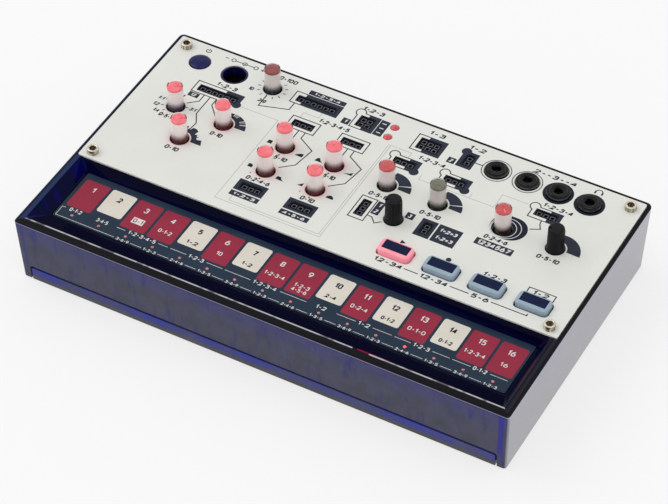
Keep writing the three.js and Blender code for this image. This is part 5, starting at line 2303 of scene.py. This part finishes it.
TAIL = ((0.78, 1), (0.36, 0.84), (0.08, 0.58), (0, 0.3))
BOWL = (
    (0, 0.2), (0.1, 0.06), (0.35, 0), (0.65, 0), (0.9, 0.06), (1, 0.2), (1, 0.4), (0.9, 0.54), (0.65, 0.6),
    (0.35, 0.6), (0.1, 0.54), (0, 0.4), (0, 0.2),
)
FIGURES: dict[str, tuple] = {
    "0": (
        1.0,
        (
            (0, 0.2), (0.1, 0.06), (0.34, 0), (0.66, 0), (0.9, 0.06), (1, 0.2), (1, 0.8), (0.9, 0.94),
            (0.66, 1), (0.34, 1), (0.1, 0.94), (0, 0.8), (0, 0.2),
        ),
    ),
    "1": (0.4, ((0, 0.74), (1, 1), (1, 0))),
    "2": (
        1.0,
        (
            (0.02, 0.78), (0.12, 0.94), (0.36, 1), (0.66, 1), (0.92, 0.92), (1, 0.74), (0.9, 0.56),
            (0, 0), (1, 0),
        ),
    ),
    "3": (
        1.0,
        (
            (0.03, 0.84), (0.2, 0.97), (0.45, 1), (0.72, 0.99), (0.95, 0.9), (0.97, 0.68),
            (0.8, 0.55), (0.3, 0.53),
        ),
        ((0.8, 0.55), (1, 0.4), (1, 0.18), (0.88, 0.04), (0.6, 0), (0.3, 0), (0.12, 0.04), (0, 0.18)),
    ),
    "4": (1.0, ((0.72, 1), (0, 0.28), (1, 0.28)), ((0.72, 1), (0.72, 0))),
    "5": (
        1.0,
        (
            (0.95, 1), (0.14, 1), (0.08, 0.55), (0.38, 0.62), (0.7, 0.6), (0.94, 0.5), (1, 0.32), (0.92, 0.1),
            (0.66, 0), (0.3, 0), (0.02, 0.1),
        ),
    ),
    "6": (1.0, TAIL, BOWL),
    "7": (1.0, ((0, 1), (1, 1), (0.36, 0))),
    "8": (
        1.0,
        (
            (0.28, 0.52), (0.08, 0.62), (0.04, 0.8), (0.2, 0.97), (0.8, 0.97), (0.96, 0.8), (0.92, 0.62),
            (0.72, 0.52), (0.28, 0.52),
        ),
        (
            (0.28, 0.52), (0.04, 0.4), (0, 0.2), (0.2, 0.03), (0.8, 0.03), (1, 0.2), (0.96, 0.4),
            (0.72, 0.52), (0.28, 0.52),
        ),
    ),
    "9": (1.0, *(tuple((1 - x, 1 - y) for x, y in path) for path in (TAIL, BOWL))),
    "-": (0.6, ((0, 0.45), (1, 0.45))),
    "+": (0.9, ((0, 0.47), (1, 0.47)), ((0.5, 0.15), (0.5, 0.8))),
    "x": (0.8, ((0, 0.15), (1, 0.7)), ((0, 0.7), (1, 0.15))),
    ":": (0.1, ((0.5, 0.1), (0.5, 0.26)), ((0.5, 0.62), (0.5, 0.78))),
}


class Printing:
    """Collects the printed marks of one surface, each a thin closed body, by ink."""

    sunk: float = 0.05
    proud: float = 0.012
    layer: float = 0.009
    step: float = 0.0009
    steps: int = 7
    gap: float = 0.62

    def __init__(
        self, top: float, holes: Sequence[Rect] = (), shift: float = 0.0, weight: float = 0.21
    ) -> None:
        """Starts with a clean surface.

        Args:
            top: The height of the surface.
            holes: The rectangular openings that ink can't cover.
            shift: How far every mark moves to the right.
            weight: How wide a figure's strokes are, as a share of its height.
        """
        self.weight = weight
        self.top = top
        self.holes = holes
        self.shift = shift
        self.marks: dict[Finish, Maker] = {}
        self.count = 0

    def _moved(self, outline: Outline) -> Outline:
        """Moves an outline to the right with every other mark."""
        return [(x + self.shift, y) for x, y in outline]

    def _level(self, layer: int) -> Point:
        """Gives the next mark its foot and its top, a hair apart from its neighbours.

        Args:
            layer: How many inks lie under it.

        Returns:
            The foot and the top.
        """
        self.count += 1
        high = self.top + self.proud + layer * self.layer + self.count % self.steps * self.step
        return self.top - self.sunk, high

    def fill(self, ink: Finish, outline: Outline, layer: int = 0) -> None:
        """Prints a filled shape, with the openings left free.

        Args:
            ink: The ink.
            outline: The shape against the clock.
            layer: How many inks lie under it.
        """
        parts = [self._moved(outline)]
        for hole in self.holes:
            parts = [rest for part in parts for rest in without(part, hole)]
        low, high = self._level(layer)
        for part in parts:
            self.marks.setdefault(ink, Maker()).prism(part, low, high)

    def line(
        self, ink: Finish, path: Sequence[Point], width: float, closed: bool = False, layer: int = 0
    ) -> None:
        """Prints a line."""
        for outline in stroke(path, width, closed):
            self.fill(ink, outline, layer)

    def ring(self, ink: Finish, outer: Outline, inner: Outline) -> None:
        """Prints the area between two outlines."""
        contours = [lambda _, o=self._moved(outline): o for outline in (outer, inner)]
        self.marks.setdefault(ink, Maker()).holed_plate(contours, *self._level(0), 0.002)

    def write(
        self, ink: Finish, text: str, at: Point, height: float, width: float,
        slant: float = 0.15, layer: int = 0,
    ) -> None:
        """Prints plain figures.

        Args:
            ink: The ink.
            text: The figures.
            at: Their middle.
            height: Their height.
            width: How wide they are together.
            slant: How far they lean, as a share of their height.
            layer: How many inks lie under it.
        """
        weight = height * self.weight + 0.05
        unit = (width - weight) / (sum(FIGURES[sign][0] for sign in text) + self.gap * (len(text) - 1))
        left = at[0] - (width - weight) / 2
        for sign in text:
            wide, *paths = FIGURES[sign]
            for path in paths:
                spots = [
                    (
                        left + x * wide * unit + (y - 0.5) * height * slant,
                        at[1] + (y - 0.5) * (height - weight),
                    )
                    for x, y in path
                ]
                closed = spots[0] == spots[-1]
                self.line(ink, spots[:-1] if closed else spots, weight, closed, layer)
            left += (wide + self.gap) * unit

    def pieces(self, name: str, body: str, slot: str) -> Pieces:
        """Makes one mesh for each ink."""
        for ink, maker in self.marks.items():
            yield seat(maker.piece(f"{name}_{ink.name}", ink, smooth=None), body, slot)


@dataclass(frozen=True)
class PanelPrint:
    """The dark and pale marks on the white panel."""

    shift: float = 0.3
    hole_gap: float = 0.13
    slot_edge: float = 0.5
    line: float = 0.4
    fine: float = 0.22
    mark: float = 0.34
    tab: float = 1.9
    figure: float = 2.05
    small: float = 1.75
    gauge: float = 4.2
    frames: Rows = (
        (-77, -57.9, 31, 37.1), (-42.5, -23.4, 43.1, 49.3), (-37.4, -26, 30.8, 37.1),
        (-17.2, -5.8, 30.8, 37.1), (7.5, 18.9, 41.75, 50.3), (4.5, 10.5, 0.7, 12.3), (76, 86.1, -3.5, -0.5),
    )
    tabs: Rows = (
        (-17.25, -8.3, 41.8, 50.3, -16.5, 50.2), (3.9, 15.3, 30.8, 36.75, 4.6, 36.4),
        (24.05, 35.5, 30.8, 36.75, 24.75, 36.4), (59.9, 71.2, 30.7, 36.6, 60.4, 36.3),
    )
    blocks: Rows = (
        (-64.9, -57.8, 30.9, 37.2), (-38.25, -23.3, 43, 49.4), (-38.3, -23.4, 49.8, 52.1),
        (-37.6, -26.1, -6.8, -0.9), (-17.5, -6, -6.8, -0.9), (-37.6, -26.1, -9.9, -7.4),
        (-17.5, -6, -9.9, -7.4), (-12.8, -8.2, 41.7, 50.4), (-7.85, -4.35, 41.8, 50.3),
        (-20.8, -17.8, 41.8, 44.9), (11.9, 19, 41.6, 50.4), (25.8, 31.8, 41.6, 50.3),
        (22.2, 25.2, 41.6, 44.6), (10.8, 15.4, 30.7, 36.8), (31, 35.6, 30.7, 36.8), (66.7, 71.3, 30.6, 36.7),
        (11, 13.9, 5.4, 12.25), (22.5, 25.7, 9.1, 12.3), (28.6, 34.7, 3.3, 12.25), (35.25, 44.3, 3.3, 12.25),
        (-77, -72.8, 28.1, 30.5), (49.3, 63.7, 9.5, 12.8),
    )
    discs: Rows = (
        (-58.3, 31.8, 1.7), (26.6, 49.9, 1.9), (14.7, 31.3, 1.8),
        (34.9, 31.3, 1.8), (70.7, 31.2, 1.8), (45.75, -2.1, 1),
    )
    joins: Rows = (
        ((-71.3, 30.8), (-71.3, 27.2), (-74.75, 24.1)),
        ((-68.8, 30.8), (-68.8, 21), (-66.2, 16.3), (-66.8, 11)),
        ((-66.2, 31), (-66.2, 27.5), (-61, 21.75)),
        ((-51.3, 42.2), (-51.3, 35.5), (-40.3, 38.9), (-40.3, 43)),
        ((-31.7, 30.8), (-31.7, 25.5)),
        ((-29, 30.8), (-29, 27.5), (-22.3, 23.5), (-23.9, 14.25), (-28.6, 10.2)),
        ((-11.6, 30.8), (-11.6, 25.5)),
        ((-8.9, 30.8), (-8.9, 27.5), (-2.2, 23.5), (-3.8, 14.25), (-8.5, 10.2)),
        ((10.5, 4), (12.4, 4), (14.6, 1.6), (16.6, 3.4)),
        ((65.4, 30.7), (65.7, 28.8), (66.9, 26.6), (63.5, 24.9)),
        ((31.8, 46), (34.8, 46)), ((34.1, -13.3), (39.6, -13.3)), ((51.9, -13.3), (59.1, -13.3)),
        ((67.6, -13.3), (81, -13.3), (81, -12.4)),
    )
    ways: Rows = (
        ((-57, 31.8), (-40.9, 31.8), (-40.9, -13.7), (1.2, -13.7), (1.2, 39.7)),
        ((-35.75, -10), (-35.75, -12.6), (0.3, -12.6), (0.3, 39.7), (9.6, 39.7), (9.6, 37)),
        ((18, 31.4), (18, 28.8), (47.7, 28.8), (47.7, 36), (58, 36)),
        ((38, 31.4), (38, 28.8)),
        ((-34.8, 37), (-34.8, 40), (-28.7, 40), (-28.7, 43)),
    )
    figures: Rows = (
        ("0-5-10", -77.4, 14.6, 6.6), ("0-10", -56.8, 14.6, 4.8), ("0-5-10", -31.6, 14.6, 7.8),
        ("0-5-10", -11.6, 14.6, 7), ("0-5-10", 9.7, 14.6, 7.9), ("0-5-10", 29.9, 14.6, 7.9),
        ("0-2-4-6", 55.6, 14.6, 9), ("0-5-10", 75.6, 14.6, 8.4), ("0-10", -67.2, 0.8, 5.4),
        ("0-2-4-6", -31.6, 0.8, 9.4), ("0-10", -11.6, 0.8, 5.4), ("1-2-3", -66.3, 38.9, 8.4),
        ("1-2-3-4-5", -21.7, 39.25, 12.3), ("1-2-3-4", 18.1, 39.1, 10.6), ("1-2-3-4", 68.2, 38.6, 11.4),
        ("0-100", -48.2, 52.8, 7.4), ("1-2-3", -12.6, 52.8, 8.6), ("1-3", 13.4, 52.8, 6.2),
        ("1-2", 29.6, 52.8, 6.4), ("2--3--4", 60.4, 52.8, 16.6), ("12-34", 28.1, -13.3, 10.8),
        ("12-34", 45.7, -13.3, 10.6), ("5-6", 63.4, -13.3, 6.6), ("1-2-3", 63.6, -2, 8.8),
        ("1-2", 81, -2, 5.8),
    )
    small_figures: Rows = (
        ("10", -58.1, 42.4, 2), ("240", -51.3, 38.4, 3), ("1:1", -84.3, 22.2, 2.3), ("1:2", -84.4, 18.7, 2.3),
        ("1:4", -82.6, 15.6, 2.4), ("3:1", -71, 22.1, 2.5), ("2:1", -78.6, 26.7, 2.4),
    )
    pale_figures: Rows = (
        ("1-2-3-4", -30.9, 50.95, 1.3, 10.6), ("1-2-3", -31.9, -8.65, 1.4, 8.6),
        ("4-5-6", -11.8, -8.65, 1.4, 8.6), ("1", 12.45, 10.4, 1.9, 0.8), ("2", 12.45, 7.2, 1.9, 1.1),
        ("3", 24.1, 10.7, 1.8, 1.1), ("1+2x3", 39.8, 9.7, 1.7, 6.6), ("1-2x3", 39.8, 5.9, 1.7, 6.6),
        ("1234567", 56.5, 11.15, 2.1, 12.4), ("1", -19.3, 43.35, 1.7, 0.8), ("2", 23.7, 43.1, 1.7, 1.1),
        ("12", -74.9, 29.3, 1.4, 2),
    )
    dashes: Rows = (
        ((-82.5, 22.5), (-81.5, 22.7)), ((-82.7, 19), (-81.6, 19.3)),
        ((-80.6, 16.5), (-80, 17.4)), ((-73.9, 22), (-72.8, 22.1)),
    )
    waves: Rows = (
        (
            (-31.75, 20.7),
            ((-7.2, -0.9), (-5.3, -0.9), (-5.3, 0.8), (-6.9, 0.8)),
            ((4.9, -1.9), (7.9, -1.9), (7.9, -0.1), (6.8, -0.3), (5.8, -0.9)),
        ),
        (
            (-11.65, 20.7),
            ((-7.6, -1), (-4.5, -1), (-5.8, 0.2), (-6.1, 0.9), (-7, 0.7)),
            ((4.6, -1.9), (7.9, -1.9), (7.9, -0.1), (6.9, -1.1)),
        ),
        (
            (-31.75, 6.6),
            ((-7.1, -0.9), (-5.3, -0.9), (-5.3, 0.3), (-6, 0.8), (-7.1, 0.8)),
            ((4.9, -1.9), (8.2, -2), (7, -1.2), (6.6, -0.3), (5.1, -0.3)),
        ),
        (
            (-11.65, 6.6),
            ((-6.8, -0.9), (-4.9, -0.9), (-4.9, 0.9)),
            ((5.1, -1.8), (8, -1.8), (7.8, -0.9), (7, -0.2), (6.1, -0.2), (5.3, -0.9)),
        ),
    )
    gauges: Rows = (
        (
            "mod", (6.5, 8.7),
            ((1, 20), (23, 29), (30.5, 36), (39, 62), (64, 67), (69, 72), (74, 77), (80, 97)),
        ),
        ("cutoff_1", (7.3, 9.3), ((-2, 19), (22, 88))),
        ("cutoff_2", (7.3, 9.3), ((-2, 19), (22, 88))),
        ("volume", (7.3, 9.3), ((-2, 88),)),
        ("mod", (5.5, 5.9), ((1, 97),)),
    )
    lobes: Rows = (
        (0, 8.7), (19, 8), (20, 6.25), (30, 6), (32.4, 7.1), (35.5, 6.1), (43, 6.6), (49, 5.7), (55.6, 7.5),
        (66, 7.7), (77, 7.4), (81.5, 5.4), (86, 6.4), (88, 5.5),
    )
    nests: Rows = (
        (50.1, 63.75, 16.1, 27.8), (50.6, 61.5, 16.5, 26.3), (51, 59.9, 16.8, 25.2)
    )
    nest_gap: float = 0.28
    nest_hole: float = 3.62
    jack_ring: float = 5.6
    jack_rings: tuple[float, ...] = (5.3, 5.3, 4.6, 4.6)
    tick: Point = (1.1, 0.32)
    ticks: int = 11
    tick_circle: float = 5.2
    tick_turns: Point = (-230.0, 28.0)

    def build(self) -> Pieces:
        """Prints everything.

        Yields:
            One piece for each ink, and the ticks of the clock knob.
        """
        slots = [Rect.of_node(node) for node in nodes_named("patch_socket")]
        ink = Printing(heights("top_panel")[1], [slot.grown(self.hole_gap) for slot in slots], self.shift)
        for sides in self.frames:
            ink.line(INK, Rect(*sides).outline(), self.line, closed=True)
        for *sides, x, y in self.tabs:
            ink.line(INK, tabbed(Rect(*sides), (x, y), self.tab), self.line, closed=True)
        for sides in self.blocks:
            ink.fill(TAB_INK, Rect(*sides).outline(), 1)
        for x, y, radius in self.discs:
            ink.fill(TAB_INK, circle((x, y), radius, 28), 1)
        # A black band round each slot: painted shade of the gap.
        for slot in slots:
            around = slot.grown(self.slot_edge).outline(0.15, 2)
            ink.fill(SLOT_SHADE, [(x - self.shift, y) for x, y in around], 2)
        for path in self.joins:
            ink.line(INK, path, self.line)
        for path in self.ways:
            ink.line(PALE_INK, path, self.fine)
        for rows, height in ((self.figures, self.figure), (self.small_figures, self.small)):
            for text, x, y, width in rows:
                ink.write(INK, text, (x, y), height, width)
        for text, x, y, height, width in self.pale_figures:
            ink.write(WHITE_INK, text, (x, y), height, width, layer=2)
        self._gauges(ink)
        self._symbols(ink)
        for number, inner in enumerate(self.jack_rings, 1):
            middle = self._middle(f"audio_jack_{number}")
            ink.ring(INK, circle(middle, self.jack_ring, FINE_SIDES), circle(middle, inner, FINE_SIDES))
        yield from ink.pieces("panel_print", "case", "panel_lacquer")
        yield self._ticks(ink.top)

    def _middle(self, node: str) -> Point:
        """Finds the middle of a CAD node as the printing counts it, before its shift."""
        x, y = Rect.of_node(node).middle
        return (x - self.shift, y)

    def _gauges(self, ink: Printing) -> None:
        """Prints the dark gauges beside some knobs and the nested rings of another.

        Args:
            ink: The printing.
        """
        for name, reach, stretches in self.gauges:
            for angles in stretches:
                ink.fill(TAB_INK, sector(self._middle(f"{name}_knob"), self.gauge, reach, angles))
        middle = self._middle("fold_knob")
        rim = [arc(middle, radius, angle, angle, 1)[0] for angle, radius in self.lobes]
        ink.fill(TAB_INK, rim + arc(middle, self.gauge, 88, 0, 16))
        ink.fill(TAB_INK, sector(middle, self.gauge, (7.1, 7.1), (91, 97)))
        nests = [Rect(*sides) for sides in self.nests]
        inner = [self._oval(nest.grown(self.nest_gap)) for nest in nests[1:]]
        inner.append(circle(self._middle("amount_knob"), self.nest_hole, 52))
        for nest, hole in zip(nests, inner):
            ink.ring(INK, self._oval(nest), hole)

    @staticmethod
    def _oval(rect: Rect) -> Outline:
        """Walks round a rectangle with half circles at its ends."""
        return rect.outline(rect.depth / 2 - 0.01, 12)

    def _symbols(self, ink: Printing) -> None:
        """Prints the small plain symbols.

        Args:
            ink: The printing.
        """
        ink.fill(INK, [(27.1, -3.0), (29.1, -2.05), (27.1, -1.1)])
        for (x, y), *shapes in self.waves:
            for shape in shapes:
                ink.fill(INK, [(x + across, y + along) for across, along in shape])
            ink.fill(INK, circle((x + 0.1, y - 4.6), 0.34, 12))
            ink.fill(INK, circle((x - 4.3, y - 3.4), 0.26, 12))
        for path in self.dashes:
            ink.line(INK, path, 0.32)
        ink.line(INK, arc((-82.3, 53.0), 0.95, 125, 415, 20), self.mark)
        ink.line(INK, [(-82.3, 52.9), (-82.3, 54.3)], self.mark)
        for x in (-71.5, -66.8, -62.1):
            ink.line(INK, arc((x, 52.9), 0.8, 0, 360, 20)[:-1], 0.32, closed=True)
        for left, right in ((-70.6, -67.7), (-65.9, -63.0)):
            ink.line(INK, [(left, 52.9), (right, 52.9)], self.mark)
        ink.fill(INK, circle((-66.8, 52.9), 0.35, 14))
        for left, right in ((-75.0, -73.6), (-60.0, -58.6)):
            ink.line(INK, [(left, 52.9), (right, 52.9)], self.mark)
        ink.line(INK, [(-59.3, 52.2), (-59.3, 53.6)], self.mark)
        ink.line(INK, arc((77.1, 53.3), 1.3, 0, 180, 16), 0.38)
        for side in (-1.3, 1.3):
            ink.fill(INK, Rect.about(77.1 + side, 52.9, 0.65, 1.2).outline())
        for y in (48.6, 46.0, 43.5):
            ink.fill(WHITE_INK, Rect.about(-6.1, y, 1.6, 0.45).outline(), 2)

    def _ticks(self, top: float) -> Object:
        """Prints the ticks round the clock knob.

        Args:
            top: The height of the panel.

        Returns:
            The piece.
        """
        first, step = (math.radians(turn) for turn in self.tick_turns)
        tick = Maker().prism(Rect.about(0, 0, *self.tick).outline(), top - 0.05, top + 0.02)
        sizes = {"Count": self.ticks, "Radius": self.tick_circle * MILLIMETRE, "First": first, "Step": step}
        middle = (*Rect.of_node("clock_knob").middle, 0.0)
        return seat(Layout.ROUND.repeat("clock_ticks", tick, INK, middle, **sizes), "case", "panel_lacquer")


@dataclass(frozen=True)
class TouchKeyboard:
    """The printed film with sixteen keys, its lights and its scale."""

    shift: float = 0.3
    corner: float = 0.7
    edge: float = 0.08
    keys: int = 16
    pitch: float = 11.03
    key_width: float = 10.0
    key_back: float = -23.45
    long_front: float = -38.2
    short_front: float = -35.7
    key_corner: float = 0.9
    light_row: float = -41.95
    light: float = 0.55
    bright: int = 13
    dark_keys: tuple[int, ...] = (1, 3, 4, 6, 8, 9, 11, 13, 15, 16)
    boxed: int = 3
    boxed_figure: float = 1.9
    box_height: float = 2.9
    pale_weight: float = 0.145
    dark_weight: float = 0.2
    number_y: float = -27.4
    number: float = 2.45
    digits: Point = (1.15, 1.65)
    figure: float = 1.8
    upper_y: float = -39.4
    upper: float = 1.75
    lower_y: float = -44.05
    lower: Point = (1.25, 5.0)
    first_lower: int = 3
    fine: float = 0.18
    line_gap: float = 3.3
    margin: float = -88.2
    second_lines: Rows = (
        (3, "0-1", -33.4, 4.6), (4, "0-1-2", -33.4, 5.2), (5, "1-2", -33.4, 4.6), (6, "10", -33.4, 2.2),
        (7, "1-2", -33.4, 4), (8, "1-2-3-4", -33.4, 7.8), (9, "1-2-3", -33.8, 5.8), (9, "4-5-6", -36, 5.8),
        (10, "2-4", -33.4, 4.2), (11, "0-2-4", -33.4, 6.4), (12, "0-1-2", -33.4, 5),
        (13, "0-1-0", -33.4, 6.6), (14, "0-1-2", -33.4, 5), (15, "1-2-3-4", -33.4, 7.8),
        (16, "16", -33.4, 2.8),
    )
    upper_row: Rows = (
        ("0-1-2", -82.4, 4.8), ("3-4-5", -71.4, 4.6), ("1-2-3-4-5", -55.1, 11), ("1-2-3", -33.1, 6),
        ("1-2-3-4", -5.7, 9.1), ("1-2", 16.4, 3.8), ("1-2", 33, 4.4), ("1-2-3", 55, 6), ("0-1-2", 77, 5.1),
    )
    upper_lines: Rows = (
        (-65.4, -61.9), (-48.5, -44.6), (-43.5, -37.1), (-28.9, -22.6), (-21.6, -11.4), (0.3, 10.6),
        (22.4, 29.8), (36.3, 43.6), (44.7, 50.9), (59.1, 65.6), (66.6, 73.5), (80.7, 87.3),
    )
    lower_texts: tuple[str, ...] = ("1-2-3", "2-4-6", "1-3-5", "3-6-9")

    def build(self) -> Pieces:
        """Makes the film and prints it.

        Yields:
            The pieces.
        """
        low, high = heights("touch_overlay")
        film = Maker().slab(Rect.of_node("touch_overlay"), self.corner, low, high, self.edge)
        yield seat(film.piece("touch_film", OVERLAY), "case", "touch_print", "touch_overlay")
        ink = Printing(high, (), self.shift)
        for number in range(1, self.keys + 1):
            self._key(ink, number)
        self._scales(ink)
        yield from ink.pieces("touch_print", "case", "touch_print")
        yield from self._lights(high)

    def _x(self, number: int) -> float:
        """Finds the middle of a key."""
        return (number - (self.keys + 1) / 2) * self.pitch

    def _key(self, ink: Printing, number: int) -> None:
        """Prints one key with its figures.

        Args:
            ink: The printing.
            number: Which key.
        """
        x, half, digits = self._x(number), self.key_width / 2, str(number)
        key, front, mark, ink.weight = (
            (RED_KEY, self.long_front, WHITE_INK, self.pale_weight)
            if number in self.dark_keys
            else (PALE_KEY, self.short_front, INK, self.dark_weight)
        )
        ink.fill(key, Rect(x - half, x + half, front, self.key_back).outline(self.key_corner, 4))
        width = sum(self.digits[digit != "1"] for digit in digits)
        ink.write(mark, digits, (x, self.number_y), self.number, width, 0.05, 1)
        for owner, text, y, width in self.second_lines:
            if owner == number == self.boxed:
                ink.fill(WHITE_INK, Rect.about(x, y, width, self.box_height).outline(0.15, 2), 1)
                ink.write(RED_KEY, text, (x, y), self.boxed_figure, width - 0.9, 0.0, 2)
            elif owner == number:
                ink.write(mark, text, (x, y), self.figure, width, 0.0, 1)

    def _scales(self, ink: Printing) -> None:
        """Prints the two rows of figures and lines in front of the keys.

        Args:
            ink: The printing.
        """
        ink.weight = self.pale_weight
        for text, x, width in self.upper_row:
            ink.write(WHITE_INK, text, (x - self.shift, self.upper_y), self.upper, width, 0.0)
        for left, right in self.upper_lines:
            ends = [(left - self.shift, self.upper_y), (right - self.shift, self.upper_y)]
            ink.line(WHITE_INK, ends, self.fine)
        left, upper, lower = self.margin, self.upper_y, self.lower_y
        corners = [(left + 1.4, upper), (left, upper), (left, lower)]
        ink.line(WHITE_INK, corners + [(self._x(self.first_lower) - 3.4, lower)], self.fine)
        for number in range(self.first_lower, self.keys + 1):
            x = self._x(number)
            ink.write(WHITE_INK, self.lower_texts[number % 4], (x, self.lower_y), *self.lower, 0.0)
            if number < self.keys:
                ends = [(x + self.line_gap, self.lower_y), (x + self.pitch - self.line_gap, self.lower_y)]
                ink.line(WHITE_INK, ends, self.fine)

    def _lights(self, high: float) -> Pieces:
        """Makes the row of step lights.

        Args:
            high: The height of the film.

        Yields:
            The pieces.
        """
        profile = [(0, high - 0.1), (self.light, high - 0.1), (self.light, high + 0.02)]
        dot = Maker().lathe(profile + [(self.light - 0.1, high + 0.05), (0, high + 0.05)], (0, 0), 16)
        for name, first, last, finish in (
            ("step_lights_left", 1, self.bright - 1, DIM_DOT),
            ("step_light_lit", self.bright, self.bright, BRIGHT_DOT),
            ("step_lights_right", self.bright + 1, self.keys, DIM_DOT),
        ):
            count = last - first + 1
            sizes = {"Count": count, "Columns": count, "Across": self.pitch * MILLIMETRE, "Along": 0.0}
            middle = ((self._x(first) + self._x(last)) / 2 + self.shift, self.light_row, 0.0)
            yield seat(Layout.ROWS.repeat(name, dot, finish, middle, **sizes), "case", "red_light")


def main() -> None:
    """Builds every part of the synthesizer in order, and the studio round it."""
    logging.basicConfig(level=logging.INFO, format="%(levelname)s %(message)s")
    Studio().build()
    shell = (UpperCase(), BottomCase(), TopPanel(), PanelPrint(), TouchKeyboard())
    for part in (*shell, KnobSet(), ButtonSet(), PowerCorner(), JackRow(), PatchField(), SmallParts()):
        LOG.info("%s: %d pieces", type(part).__name__, len(list(part.build())))


if __name__ == "__main__":
    main()
